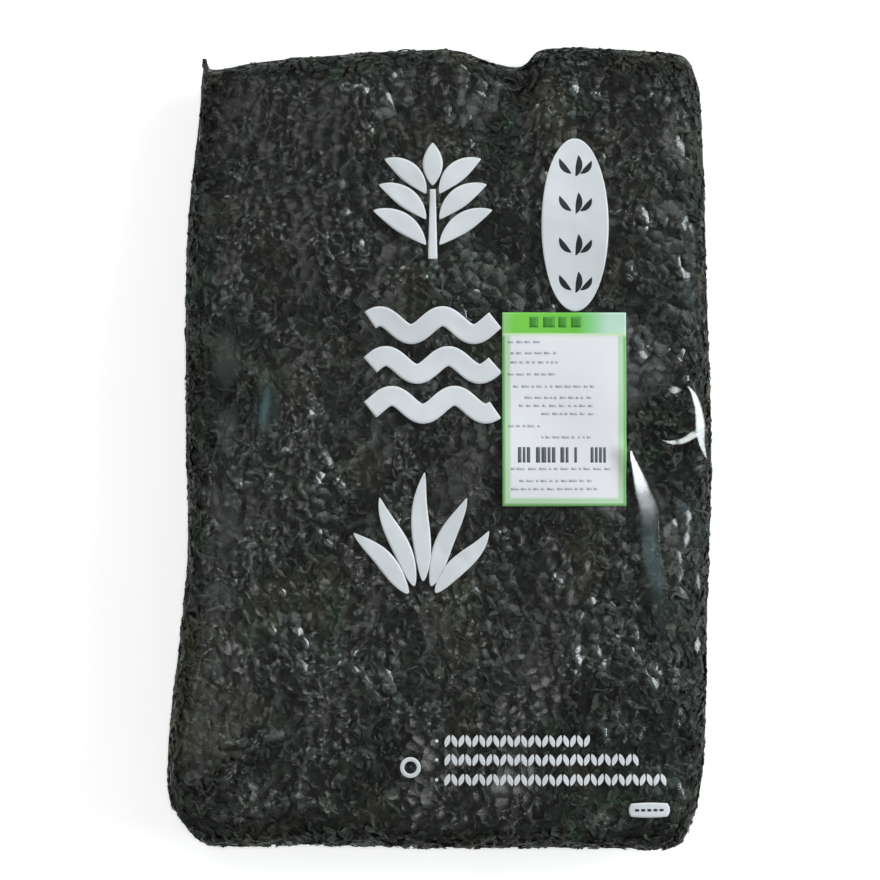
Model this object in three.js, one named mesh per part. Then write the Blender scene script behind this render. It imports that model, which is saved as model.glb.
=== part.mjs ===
// A clear film bag packed tight with dried laver, lying on its back with the front up.
// Units are millimetres. +Z is up, +X is the bag's right side and +Y its folded top end.
// The origin is under the middle of the bag, on the surface that it rests on.
import * as THREE from "three";
import { mergeVertices } from "three/addons/utils/BufferGeometryUtils.js";

// Thickness of the filled bag, and how its edges round over
const THICKNESS_LOW = 47; // crown over the lower half, where the laver has settled
const THICKNESS_TOP = 37; // crown near the folded top end
const SEAM_SHARE = 0.42; // height of the widest line, as a share of the thickness
const SIDE_POWER = 6; // how square the long sides are, 2 being a half round
const END_POWER = 7; // how square the two ends are
const BACK_FILL = 1.12; // over 1 the laver's weight flattens the middle of the back
const SETTLED_SHARE = 0.25; // share of the length, from the bottom, that keeps the full thickness

// Outline of the bag from above. Each edge runs between two corners of the bag.
const BOTTOM_LEFT = [-91.5, -138.5]; // middle of the folded-in corner
const BOTTOM_RIGHT = [90.5, -140];
const TOP_LEFT = [-85.5, 140.5]; // tip of the film that stands out beside the fold
const TOP_RIGHT = [92, 139];
const LEFT_EDGE = [
  BOTTOM_LEFT, [-98, -129], [-99, -112], [-92, -41], [-92.5, 10], [-92, 79], [-87.5, 123], [-86.5, 137],
  TOP_LEFT,
];
const RIGHT_EDGE = [
  BOTTOM_RIGHT, [93.5, -131], [96, -115], [97.5, -55], [99, -6], [97.5, 54], [96, 108], [94.5, 131],
  TOP_RIGHT,
];
const BOTTOM_EDGE = [
  BOTTOM_LEFT, [-85.5, -144], [-50, -144.5], [0, -145.5], [58, -145.5], [86.5, -145], BOTTOM_RIGHT,
];
const TOP_EDGE = [
  TOP_LEFT, [-83.5, 138], [-65, 140.5], [-13, 144.5], [6, 144.5], [21.5, 139.5], [30, 139], [36, 144.5],
  [48, 145.5], [73, 144.5], [89, 142.5], TOP_RIGHT,
];

// Low swells where the laver inside is packed unevenly. A heading is the way that a wave runs, in degrees
// from +X.
const SWELLS = [
  { height: 0.9, waveLength: 117, heading: 18, shift: 0.6 },
  { height: 0.8, waveLength: 83, heading: 104, shift: 2.1 },
  { height: 0.6, waveLength: 61, heading: 147, shift: 4.4 },
  { height: 0.5, waveLength: 46, heading: 62, shift: 1.3 },
  { height: 0.4, waveLength: 35, heading: 171, shift: 5.2 },
];

// Folds of slack film across the front, each with its height at both ends. A negative height is a furrow.
const FOLD_SPREAD = 0.6; // share of a fold's width at which it has dropped to about a third of its height
const FOLDS = [
  { from: [66.2, -1.7], to: [74.7, -23], heights: [2.4, 1.6], width: 6 }, // long pleat beside the label
  { from: [74.7, -23], to: [78.5, -70], heights: [1.3, 0.6], width: 6 }, // and its lower part
  { from: [91, 26], to: [95, -14], heights: [0.9, 0.9], width: 8 }, // rim of the slack pocket on the right
  { from: [-88, 88], to: [-84, 24], heights: [1.6, 1.6], width: 6 }, // pleat along the left side
  { from: [-70, 22], to: [-83, -8], heights: [1.8, 1.8], width: 7 }, // end of that pleat, turning to the edge
  { from: [26, 141], to: [20, 112], heights: [-2.4, -0.6], width: 9 }, // furrow down from the notch in the top
  { from: [-88, -132], to: [-64, -104], heights: [1.6, 1.6], width: 8 }, // pull from the folded-in corner
];

// Paper label on the front
const LABEL_WIDTH = 44.5;
const LABEL_HEIGHT = 69.5;
const LABEL_CENTRE = [44.7, 13.6];
const LABEL_THICKNESS = 0.3;
const LABEL_GAP = 0.6; // clearance between the paper and the facets of the bag

// Facets
const BAG_COLUMNS = 32;
const BAG_ROWS = 44;
const EDGE_CROWDING = 0.65; // 0 spreads the facets evenly, 1 gathers most of them at the edges
const LABEL_COLUMNS = 14;
const LABEL_ROWS = 22;

const LAVER_UNDER_FILM = new THREE.MeshStandardMaterial({ color: 0x2e302c, roughness: 0.25, metalness: 0 });
const COATED_PAPER = new THREE.MeshStandardMaterial({ color: 0xdfe9df, roughness: 0.5, metalness: 0 });

// A smooth curve through the points of one edge of the outline.
function edgeCurve(points) {
  return new THREE.CatmullRomCurve3(points.map(([x, y]) => new THREE.Vector3(x, y, 0)));
}

// Station from 0 to 1 along a direction of the grid, gathered towards both ends.
function station(index, count) {
  const even = index / count;
  const gathered = 0.5 - 0.5 * Math.cos(Math.PI * even);
  return even + EDGE_CROWDING * (gathered - even);
}

// Place in the outline for u from left to right and v from bottom to top: the four edges blended as a
// Coons patch.
function outlinePatch() {
  const [left, right, bottom, top] = [LEFT_EDGE, RIGHT_EDGE, BOTTOM_EDGE, TOP_EDGE].map(edgeCurve);
  const corner = ([x, y]) => new THREE.Vector3(x, y, 0);
  return (u, v) => {
    const across = left.getPointAt(v).lerp(right.getPointAt(v), u);
    const along = bottom.getPointAt(u).lerp(top.getPointAt(u), v);
    const low = corner(BOTTOM_LEFT).lerp(corner(BOTTOM_RIGHT), u);
    const high = corner(TOP_LEFT).lerp(corner(TOP_RIGHT), u);
    return across.add(along).sub(low.lerp(high, v));
  };
}

// Rounded profile over a span from 0 to 1: 0 at both ends, where it rises straight up, and 1 in the middle.
function rounded(t, power) {
  return Math.pow(1 - Math.pow(Math.abs(2 * t - 1), power), 1 / power);
}

// Height of one fold at a place: a rounded ridge about the line between its ends, fading out past them.
function foldHeight({ from, to, heights, width }, place) {
  const start = new THREE.Vector2(...from);
  const run = new THREE.Vector2(...to).sub(start);
  const offset = new THREE.Vector2(place.x, place.y).sub(start);
  const share = THREE.MathUtils.clamp(offset.dot(run) / run.lengthSq(), 0, 1);
  const distance = offset.sub(run.multiplyScalar(share)).length();
  const height = THREE.MathUtils.lerp(heights[0], heights[1], share);
  return height * Math.exp(-Math.pow(distance / (FOLD_SPREAD * width), 2));
}

// Height of one swell at a place: a sine wave that runs along its heading.
function swellHeight({ height, waveLength, heading, shift }, place) {
  const angle = THREE.MathUtils.degToRad(heading);
  const along = place.x * Math.cos(angle) + place.y * Math.sin(angle);
  return height * Math.sin((2 * Math.PI * along) / waveLength + shift);
}

// Unevenness of the front at a place: the sum of the laver's swells, and the strongest fold of the film there.
function unevenness(place) {
  const swells = SWELLS.map((swell) => swellHeight(swell, place));
  const folds = FOLDS.map((fold) => foldHeight(fold, place));
  const strongest = folds.reduce((most, height) => (Math.abs(height) > Math.abs(most) ? height : most), 0);
  return swells.reduce((sum, height) => sum + height, strongest);
}

// The front and the back of the bag at one station, which are the same point on the outline.
function bagHeights(u, v, place) {
  const thinning = THREE.MathUtils.smoothstep(v, SETTLED_SHARE, 1);
  const thickness = THREE.MathUtils.lerp(THICKNESS_LOW, THICKNESS_TOP, thinning);
  const seam = SEAM_SHARE * thickness;
  const fullness = rounded(u, SIDE_POWER) * rounded(v, END_POWER);
  const backFullness = Math.min(1, BACK_FILL * fullness);
  return {
    front: seam + (thickness - seam + unevenness(place)) * fullness,
    back: seam * (1 - backFullness),
  };
}

// One closed surface: a front and a back grid over the same stations, joined along the outline.
function bagGeometry() {
  const patch = outlinePatch();
  const front = [];
  const back = [];
  for (let row = 0; row <= BAG_ROWS; row++) {
    for (let column = 0; column <= BAG_COLUMNS; column++) {
      const u = station(column, BAG_COLUMNS);
      const v = station(row, BAG_ROWS);
      const place = patch(u, v);
      const heights = bagHeights(u, v, place);
      front.push(place.x, place.y, heights.front);
      back.push(place.x, place.y, heights.back);
    }
  }
  return closedSheet(front, back, BAG_COLUMNS, BAG_ROWS);
}

// Two grids of points with the same stations, made into one solid. Points that the grids share along their
// rims are merged, and rims that lie apart are joined by a wall.
function closedSheet(upper, lower, columns, rows) {
  const stride = columns + 1;
  const lowerStart = upper.length / 3;
  const triangles = [];
  const quad = (a, b, c, d) => triangles.push(a, b, c, a, c, d);
  for (let row = 0; row < rows; row++) {
    for (let column = 0; column < columns; column++) {
      const a = row * stride + column;
      const corners = [a, a + 1, a + stride + 1, a + stride];
      // In two opposite corners of the outline the diagonal starts from the corner itself.
      const turned = (column < columns / 2) !== (row < rows / 2);
      const order = turned ? [corners[1], corners[2], corners[3], corners[0]] : corners;
      quad(...order);
      quad(...order.map((index) => index + lowerStart).reverse());
    }
  }
  const rim = rimIndices(columns, rows);
  rim.forEach((index, i) => {
    const next = rim[(i + 1) % rim.length];
    quad(index, index + lowerStart, next + lowerStart, next);
  });
  const geometry = new THREE.BufferGeometry();
  geometry.setAttribute("position", new THREE.Float32BufferAttribute([...upper, ...lower], 3));
  geometry.setIndex(triangles);
  return withoutFlatTriangles(mergeVertices(geometry));
}

// Indices of a grid's outer points, once around, starting along its first row.
function rimIndices(columns, rows) {
  const stride = columns + 1;
  const rim = [];
  for (let column = 0; column < columns; column++) {
    rim.push(column);
  }
  for (let row = 0; row < rows; row++) {
    rim.push(row * stride + columns);
  }
  for (let column = columns; column > 0; column--) {
    rim.push(rows * stride + column);
  }
  for (let row = rows; row > 0; row--) {
    rim.push(row * stride);
  }
  return rim;
}

// Drops the triangles that merging has folded flat, and adds normals.
function withoutFlatTriangles(geometry) {
  const kept = [];
  const index = geometry.index.array;
  for (let i = 0; i < index.length; i += 3) {
    const [a, b, c] = index.slice(i, i + 3);
    if (a !== b && b !== c && c !== a) {
      kept.push(a, b, c);
    }
  }
  geometry.setIndex(kept);
  geometry.computeVertexNormals();
  return geometry;
}

// A thin sheet of paper that follows the bag's front, a little clear of it.
function labelGeometry(bag) {
  const caster = new THREE.Raycaster();
  const straightDown = new THREE.Vector3(0, 0, -1);
  const surfaceHeight = (x, y) => {
    caster.set(new THREE.Vector3(x, y, 2 * THICKNESS_LOW), straightDown);
    return caster.intersectObject(bag)[0].point.z;
  };
  const upper = [];
  const lower = [];
  for (let row = 0; row <= LABEL_ROWS; row++) {
    for (let column = 0; column <= LABEL_COLUMNS; column++) {
      const x = LABEL_CENTRE[0] + LABEL_WIDTH * (column / LABEL_COLUMNS - 0.5);
      const y = LABEL_CENTRE[1] + LABEL_HEIGHT * (row / LABEL_ROWS - 0.5);
      const under = surfaceHeight(x, y) + LABEL_GAP;
      upper.push(x, y, under + LABEL_THICKNESS);
      lower.push(x, y, under);
    }
  }
  return closedSheet(upper, lower, LABEL_COLUMNS, LABEL_ROWS);
}

const bag = new THREE.Mesh(bagGeometry(), LAVER_UNDER_FILM);
bag.name = "bag";

const label = new THREE.Mesh(labelGeometry(bag), COATED_PAPER);
label.name = "label";

// The outline's curves swing a little past their points, so the whole is set back over the origin.
const box = new THREE.Box3().setFromObject(bag);
const middle = box.getCenter(new THREE.Vector3());
const pack = new THREE.Group();
pack.add(bag, label);
pack.children.forEach((mesh) => mesh.position.set(-middle.x, -middle.y, -box.min.z));

export default pack;
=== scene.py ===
# %% [markdown]
# # A clear bag packed with dried laver
#
# The real object is a bag of clear polypropylene film, filled tight with dried laver: a pressed tangle of
# thin, dark green-black shreds. White shapes are printed on the film, and a paper label is stuck on the
# right of its front. It lies on its back and is seen from straight above.
#
# The frame's solid gives the bag's form, but not the film's gloss or the laver that shows through it. So
# this lesson works out the same form again from its formulas, as a film with the laver close beneath it.
# Every size is in millimetres until a mesh is made.

import bpy
import numpy as np
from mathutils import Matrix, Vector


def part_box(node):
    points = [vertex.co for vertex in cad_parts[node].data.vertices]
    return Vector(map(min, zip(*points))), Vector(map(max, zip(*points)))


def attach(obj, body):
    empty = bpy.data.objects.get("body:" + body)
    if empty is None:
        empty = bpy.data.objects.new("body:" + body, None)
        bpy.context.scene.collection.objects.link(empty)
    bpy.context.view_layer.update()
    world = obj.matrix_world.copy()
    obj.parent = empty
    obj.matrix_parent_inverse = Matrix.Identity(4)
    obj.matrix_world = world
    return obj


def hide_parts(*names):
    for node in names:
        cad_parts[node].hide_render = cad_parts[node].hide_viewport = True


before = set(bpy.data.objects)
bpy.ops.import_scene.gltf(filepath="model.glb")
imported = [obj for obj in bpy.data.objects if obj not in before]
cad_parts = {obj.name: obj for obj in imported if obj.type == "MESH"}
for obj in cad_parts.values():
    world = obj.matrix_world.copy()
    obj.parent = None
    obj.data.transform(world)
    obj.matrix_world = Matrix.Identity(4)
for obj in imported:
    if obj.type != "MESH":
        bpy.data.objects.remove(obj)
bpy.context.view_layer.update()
MM = 0.001  # metres in a millimetre

# %% [markdown]
# ## Helpers
#
# Blender's colours are linear, while a colour that is picked by eye is an sRGB hex value, so one function
# turns the second into the first. Another adds a shader node with its settings and links, and a third
# starts an empty material. The last puts points and polygons that numpy has worked out into a mesh, which
# is far quicker than adding them one by one, and lets the piece ride on the frame's only body.


# %% Helper functions
def linear(hex_colour):
    """Linear RGBA of an sRGB hex colour: each part c is c / 12.92 up to 0.04045, and above that
    ((c + 0.055) / 1.055) ^ 2.4."""
    srgb = np.array([int(hex_colour[i : i + 2], 16) for i in (1, 3, 5)]) / 255
    rgb = np.where(srgb <= 0.04045, srgb / 12.92, ((srgb + 0.055) / 1.055) ** 2.4)
    return (*rgb.tolist(), 1.0)


def add(tree, kind, values=None, links=None, **settings):
    """One new node: settings are its own properties, values its plain inputs and links its fed inputs."""
    node = tree.nodes.new(kind)
    for name, value in settings.items():
        setattr(node, name, value)
    for socket, value in (values or {}).items():
        node.inputs[socket].default_value = value
    for socket, source in (links or {}).items():
        tree.links.new(source, node.inputs[socket])
    return node


def new_material(name):
    """An empty material and its node tree."""
    material = bpy.data.materials.new(name)
    material.use_nodes = True
    material.node_tree.nodes.clear()
    return material, material.node_tree


def make_piece(name, points, polygons, material, attributes=None, smooth=True):
    """A mesh piece. points has one row of x, y, z in mm for each point, and polygons one row of point numbers
    for each face, filled up with -1. Points that no face uses are dropped. smooth may differ by face."""
    used, corners = np.unique(polygons[polygons >= 0], return_inverse=True)
    sizes = (polygons >= 0).sum(axis=1)
    mesh = bpy.data.meshes.new(name)
    mesh.vertices.add(len(used))
    mesh.vertices.foreach_set("co", (points[used] * MM).astype(np.float32).ravel())
    mesh.loops.add(len(corners))
    mesh.loops.foreach_set("vertex_index", corners.astype(np.int32))
    mesh.polygons.add(len(sizes))
    mesh.polygons.foreach_set("loop_start", (np.cumsum(sizes) - sizes).astype(np.int32))
    mesh.polygons.foreach_set("use_smooth", np.broadcast_to(smooth, len(sizes)))
    for key, values in (attributes or {}).items():
        layer = mesh.attributes.new(key, "FLOAT", "POINT")
        layer.data.foreach_set("value", values[used].astype(np.float32))
    mesh.update(calc_edges=True)
    mended = mesh.validate()
    mesh.materials.append(material)
    made = bpy.data.objects.new(name, mesh)
    bpy.context.scene.collection.objects.link(made)
    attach(made, "root")
    print(f"{name}: {int((sizes - 2).sum())} triangles, mended: {mended}")
    return made


print("middle grey in linear light:", round(linear("#808080")[0], 3))

# %% [markdown]
# ## Camera
#
# The bag is seen from straight above, so the camera looks down with the bag's top end up. A long lens keeps
# the perspective low, as in a product picture: from near, the crown of the front would look larger than the
# outline below it. The distance follows from the lens and from how much of the bag the picture has to show.

# %% Camera
PICTURE_PIXELS = 880  # along each side of the picture
PIXELS_PER_MM = 2.75
PICTURE_SIDE = PICTURE_PIXELS / PIXELS_PER_MM
PICTURE_CENTRE = (0.2, 2.9)
WIDEST_HEIGHT = 20.0  # height of the bag's outline, where the picture's scale holds
LENS = 200
SENSOR = 36

camera_data = bpy.data.cameras.new("camera")
camera_data.lens = LENS
camera_data.sensor_width = SENSOR
camera = bpy.data.objects.new("camera", camera_data)
camera_height = WIDEST_HEIGHT + PICTURE_SIDE * LENS / SENSOR
camera.location = np.array([*PICTURE_CENTRE, camera_height]) * MM
bpy.context.scene.collection.objects.link(camera)
bpy.context.scene.camera = camera
bpy.context.scene.view_settings.view_transform = "Standard"
print(f"camera {camera_height:.0f} mm up, picture {PICTURE_SIDE:.0f} mm wide")

# %% [markdown]
# ## Light and floor
#
# Clear film shows its gloss only where it mirrors something bright. Film that lies flat mirrors the sky
# straight above it, so that part of the sky stays dark and the laver keeps its depth. A dim ring of light
# low round that dark middle lights the laver. Three small lamps stand near overhead, and each lump of the
# film mirrors them as small round glints. Larger lamps would join the glints up into a grey veil. A window
# on the right and lights beyond the top end give the white streaks on the folds there, and two small lights
# on the left the dim ones. All of them could be area lamps, but a patch of the sky can fade out at its
# edges, which gives softer streaks.
#
# The floor is a table of white acrylic that is lit from below, as is used for pictures of goods. It stays
# white where the bag shades it.

# %% Sky glow
HORIZON_GLOW = 0.25
RING_GLOW = 0.43
ZENITH_GLOW = 0.05
# Degrees from straight up where the ring starts, is full, starts to fade and is gone
RING = (46, 60, 72, 84)
SKY_WHITE = "#fbfcff"

world = bpy.data.worlds.new("studio")
world.use_nodes = True
bpy.context.scene.world = world
tree = world.node_tree
tree.nodes.clear()
direction = add(tree, "ShaderNodeTexCoord").outputs["Generated"]
elevation = add(tree, "ShaderNodeSeparateXYZ", links={0: direction}).outputs["Z"]
ring_in, ring_full, ring_fade, ring_out = np.cos(np.radians(RING))
below = add(
    tree,
    "ShaderNodeMapRange",
    {"From Min": ring_out, "From Max": ring_fade, "To Min": HORIZON_GLOW, "To Max": RING_GLOW},
    {"Value": elevation},
    interpolation_type="SMOOTHSTEP",
)
glow = add(
    tree,
    "ShaderNodeMapRange",
    {"From Min": ring_full, "From Max": ring_in, "To Max": ZENITH_GLOW},
    {"Value": elevation, "To Min": below.outputs[0]},
    interpolation_type="SMOOTHSTEP",
)
sky = add(tree, "ShaderNodeBackground", {"Color": linear(SKY_WHITE)}, {"Strength": glow.outputs[0]})
print(f"sky from {HORIZON_GLOW} at the horizon over {RING_GLOW} to {ZENITH_GLOW} straight above")

# %% Lights in the sky
# Degrees from straight up and round from the right, colour, strength, and the angles in degrees where a
# patch starts to fade and is gone
SKY_PATCHES = {
    "window": (56, 17, "#f8fbff", 9.0, 6, 12),
    "window foot": (56, -3, "#f8fbff", 7.5, 6, 12),
    "corner": (56, 38, "#fdfeff", 7.5, 6, 12),
    "top": (74, 90, "#fbfffd", 5.5, 6, 13),
    "top left": (74, 116, "#fbfffd", 5.5, 6, 13),
    "blue": (34, 8, "#a6ced6", 1.3, 4, 10),  # daylight below the window
    "overhead": (22, 178, "#ffffff", 0.6, 5, 10),
    "left": (44, 180, "#fffdf8", 3.0, 3, 8),
    "lower left": (46, 222, "#fffdf8", 3.0, 3, 8),
    "lamp upper right": (26, 38, "#fffefa", 1.9, 3, 9),
    "lamp upper left": (26, 130, "#fffefa", 1.2, 3, 9),
    "lamp lower left": (26, 230, "#fffefa", 2.8, 3, 9),
}


def sky_direction(tilt, turn):
    """Unit vector towards a place of the sky, from its angle off straight up and its turn from the right."""
    tilt, turn = np.radians((tilt, turn))
    return np.array([np.sin(tilt) * np.cos(turn), np.sin(tilt) * np.sin(turn), np.cos(tilt)])


for tilt, turn, tint, strength, full, gone in SKY_PATCHES.values():
    centre = sky_direction(tilt, turn)
    facing = add(tree, "ShaderNodeVectorMath", {1: centre}, {0: direction}, operation="DOT_PRODUCT")
    fade = add(
        tree,
        "ShaderNodeMapRange",
        {"From Min": np.cos(np.radians(gone)), "From Max": np.cos(np.radians(full)), "To Max": strength},
        {"Value": facing.outputs["Value"]},
        interpolation_type="SMOOTHSTEP",
    )
    patch = add(tree, "ShaderNodeBackground", {"Color": linear(tint)}, {"Strength": fade.outputs[0]})
    sky = add(tree, "ShaderNodeAddShader", links={0: sky.outputs[0], 1: patch.outputs[0]})
add(tree, "ShaderNodeOutputWorld", links={"Surface": sky.outputs[0]})
print(f"sky with {len(SKY_PATCHES)} patches")

# %% Floor
FLOOR_SIDE = 6000.0
FLOOR_MOTTLE = 40.0  # size of the faint spots in its white
FLOOR_GLOW = 0.62  # light from below, beside about 0.8 from the sky

acrylic, tree = new_material("white acrylic, lit from below")
grain = add(tree, "ShaderNodeTexNoise", {"Scale": 1 / (FLOOR_MOTTLE * MM), "Detail": 3.0})
tone = add(
    tree,
    "ShaderNodeMix",
    {6: linear("#f7f7f6"), 7: linear("#fbfbfb")},
    {0: grain.outputs["Fac"]},
    data_type="RGBA",
)
table = add(
    tree,
    "ShaderNodeBsdfPrincipled",
    {"Roughness": 0.9, "Emission Color": (1, 1, 1, 1), "Emission Strength": FLOOR_GLOW},
    {"Base Color": tone.outputs[2]},
)
add(tree, "ShaderNodeOutputMaterial", links={"Surface": table.outputs[0]})
half = FLOOR_SIDE / 2 * MM
floor_mesh = bpy.data.meshes.new("floor")
floor_mesh.from_pydata(
    [(-half, -half, 0), (half, -half, 0), (half, half, 0), (-half, half, 0)], [], [(0, 1, 2, 3)]
)
floor_mesh.materials.append(acrylic)
floor = bpy.data.objects.new("floor", floor_mesh)
bpy.context.scene.collection.objects.link(floor)
print(f"floor {FLOOR_SIDE:.0f} mm square")

# %% [markdown]
# ## The bag's form
#
# Seen from above, the bag is a long rectangle with a folded-in corner, a notch in its top edge and an ear of
# film at the top left. Its four edges are smooth curves, and a Coons patch fills in between them, so that
# any place on the bag has a share u from left to right and a share v from bottom to top.

# %% Outline
BOTTOM_LEFT = (-91.5, -138.5)
BOTTOM_RIGHT = (90.5, -140)
TOP_LEFT = (-85.5, 140.5)
TOP_RIGHT = (92, 139)
LEFT_EDGE = [
    BOTTOM_LEFT, (-98, -129), (-99, -112), (-92, -41), (-92.5, 10), (-92, 79), (-87.5, 123), (-86.5, 137),
    TOP_LEFT,
]  # fmt: skip
RIGHT_EDGE = [
    BOTTOM_RIGHT, (93.5, -131), (96, -115), (97.5, -55), (99, -6), (97.5, 54), (96, 108), (94.5, 131),
    TOP_RIGHT,
]  # fmt: skip
BOTTOM_EDGE = [
    BOTTOM_LEFT, (-85.5, -144), (-50, -144.5), (0, -145.5), (58, -145.5), (86.5, -145), BOTTOM_RIGHT,
]  # fmt: skip
TOP_EDGE = [
    TOP_LEFT, (-83.5, 138), (-65, 140.5), (-13, 144.5), (6, 144.5), (21.5, 139.5), (30, 139), (36, 144.5),
    (48, 145.5), (73, 144.5), (89, 142.5), TOP_RIGHT,
]  # fmt: skip
EDGE_STEPS = 80  # points of a curve between two of its given points
SHARE_ROUNDS = 15  # steps towards a place on the bag


def edge_curve(given):
    """Shares of the length and points of a centripetal Catmull-Rom curve: a cubic between each two points,
    whose end slopes weigh the spans on both sides by the square roots of their lengths."""
    p = np.array(given, float)
    p = np.vstack([2 * p[0] - p[1], p, 2 * p[-1] - p[-2]])
    span = np.sqrt(np.linalg.norm(np.diff(p, axis=0), axis=1))[:, None, None]
    p = p[:, None]
    before, here, there, after = p[:-3], p[1:-2], p[2:-1], p[3:]
    d0, d1, d2 = span[:-2], span[1:-1], span[2:]
    leave = d1 * ((here - before) / d0 - (there - before) / (d0 + d1) + (there - here) / d1)
    arrive = d1 * ((there - here) / d1 - (after - here) / (d1 + d2) + (after - there) / d2)
    t = np.linspace(0, 1, EDGE_STEPS, endpoint=False)[:, None]
    cubic = (
        here * (2 * t**3 - 3 * t**2 + 1)
        + there * (3 * t**2 - 2 * t**3)
        + leave * (t**3 - 2 * t**2 + t)
        + arrive * (t**3 - t**2)
    )
    points = np.vstack([cubic.reshape(-1, p.shape[-1]), given[-1]])
    length = np.r_[0, np.cumsum(np.linalg.norm(np.diff(points, axis=0), axis=1))]
    return length / length[-1], points


def on_edge(curve, share):
    """Points at shares of a curve's length."""
    shares, points = curve
    return np.stack([np.interp(share, shares, column) for column in points.T], axis=-1)


left, right, bottom, top = (edge_curve(e) for e in (LEFT_EDGE, RIGHT_EDGE, BOTTOM_EDGE, TOP_EDGE))


def outline_place(u, v):
    """Coons patch: the blend of left and right, plus that of bottom and top, less that of the corners."""
    across = (1 - u)[..., None] * on_edge(left, v) + u[..., None] * on_edge(right, v)
    along = (1 - v)[..., None] * on_edge(bottom, u) + v[..., None] * on_edge(top, u)
    low = np.multiply.outer(1 - u, BOTTOM_LEFT) + np.multiply.outer(u, BOTTOM_RIGHT)
    high = np.multiply.outer(1 - u, TOP_LEFT) + np.multiply.outer(u, TOP_RIGHT)
    return across + along - (1 - v)[..., None] * low - v[..., None] * high


def outline_shares(x, y):
    """The shares u and v of places on the bag: a first guess from the box, then steps by what the patch is
    still off the place."""
    width = BOTTOM_RIGHT[0] - BOTTOM_LEFT[0]
    length = TOP_LEFT[1] - BOTTOM_LEFT[1]
    u = np.clip((x - BOTTOM_LEFT[0]) / width, 0, 1)
    v = np.clip((y - BOTTOM_LEFT[1]) / length, 0, 1)
    for _ in range(SHARE_ROUNDS):
        place = outline_place(u, v)
        u = np.clip(u + (x - place[..., 0]) / width, 0, 1)
        v = np.clip(v + (y - place[..., 1]) / length, 0, 1)
    return u, v


middle = outline_place(np.array([0.5]), np.array([0.5]))[0]
print("middle of the outline:", middle.round(2))

# %% [markdown]
# ## Fullness, swells and folds
#
# The laver fills the bag like a cushion with steep sides: a superellipse across and another along it. On top
# of that come low swells where the laver is packed unevenly, and folds of slack film. A fold is a rounded
# ridge along a line. These are in the frame's solid too, and the smaller creases are the film's own.

# %% Swells, folds and creases
FOLD_SPREAD = 0.6  # how far a ridge spreads, as a share of its width
# Height, wavelength, heading in degrees, shift
SWELLS = [
    (0.9, 117, 18, 0.6),
    (0.8, 83, 104, 2.1),
    (0.6, 61, 147, 4.4),
    (0.5, 46, 62, 1.3),
    (0.4, 35, 171, 5.2),
]
# From, to, height at each of them, width
FOLDS = [
    ((66.2, -1.7), (74.7, -23), 2.4, 1.6, 6),  # long pleat beside the label, first part
    ((74.7, -23), (78.5, -70), 1.3, 0.6, 6),  # and second part
    ((91, 26), (95, -14), 0.9, 0.9, 8),  # rim of the slack pocket on the right
    ((-88, 88), (-84, 24), 1.6, 1.6, 6),  # pleat along the left side
    ((-70, 22), (-83, -8), 1.8, 1.8, 7),  # end of that pleat
    ((26, 141), (20, 112), -2.4, -0.6, 9),  # furrow down from the notch
    ((-88, -132), (-64, -104), 1.6, 1.6, 8),  # pull from the folded-in corner
]
CREASES = [
    ((-88, 90), (-86.5, 40), 0.6, 0.6, 3.2),  # two lines down the left side
    ((-83.5, 86), (-82.5, 42), 0.4, 0.4, 3.2),
    ((-85, 129), (-75, 117), 0.5, 0.5, 4),  # tuck under the ear
    ((-64.5, 25), (-66.8, 2), 1.3, 1.3, 6),  # soft pleat on the left
    ((93.2, 7.5), (90.2, 3), 0.5, 0.8, 3),  # foot of the slack pocket
    ((90.2, 3), (85, 0.7), 0.8, 0.8, 3),
    ((85, 0.7), (80, 2.5), 0.8, 0.4, 3),
]


def ridges(lines, x, y):
    """Rounded ridges: height * exp(-(distance from the line / (spread * width)) ^ 2), where the height goes
    evenly from that at the start to that at the end, and at each place the strongest ridge counts."""
    strongest = np.zeros_like(x)
    for start, end, first, last, width in lines:
        run_x, run_y = end[0] - start[0], end[1] - start[1]
        share = ((x - start[0]) * run_x + (y - start[1]) * run_y) / (run_x**2 + run_y**2)
        share = np.clip(share, 0, 1)
        distance = np.hypot(x - start[0] - share * run_x, y - start[1] - share * run_y)
        height = first + (last - first) * share
        ridge = height * np.exp(-((distance / (FOLD_SPREAD * width)) ** 2))
        strongest = np.where(np.abs(ridge) > np.abs(strongest), ridge, strongest)
    return strongest


def swells(x, y):
    """Sum of sine waves, each running along its heading."""
    total = np.zeros_like(x)
    for height, wavelength, heading, shift in SWELLS:
        along = x * np.cos(np.radians(heading)) + y * np.sin(np.radians(heading))
        total += height * np.sin(2 * np.pi * along / wavelength + shift)
    return total


print(f"{len(SWELLS)} swells, {len(FOLDS)} folds and {len(CREASES)} creases")

# %% Heights
THICKNESS_LOW = 47.0
THICKNESS_TOP = 37.0
SEAM_SHARE = 0.42  # height of the outline, as a share of the thickness
SIDE_POWER = 6  # how square the cushion is across
END_POWER = 7  # and along
BACK_FILL = 1.12  # how far the back is pressed flat
SETTLED_SHARE = 0.25  # share of the length from the bottom that has the full thickness


def smoothstep(value, start, end):
    """0 up to start, 1 from end, and 3 t^2 - 2 t^3 between them."""
    t = np.clip((value - start) / (end - start), 0, 1)
    return t * t * (3 - 2 * t)


def rounded(t, power):
    """Superellipse over a span from 0 to 1: (1 - |2 t - 1| ^ power) ^ (1 / power)."""
    return np.maximum(0, 1 - np.abs(2 * t - 1) ** power) ** (1 / power)


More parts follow.
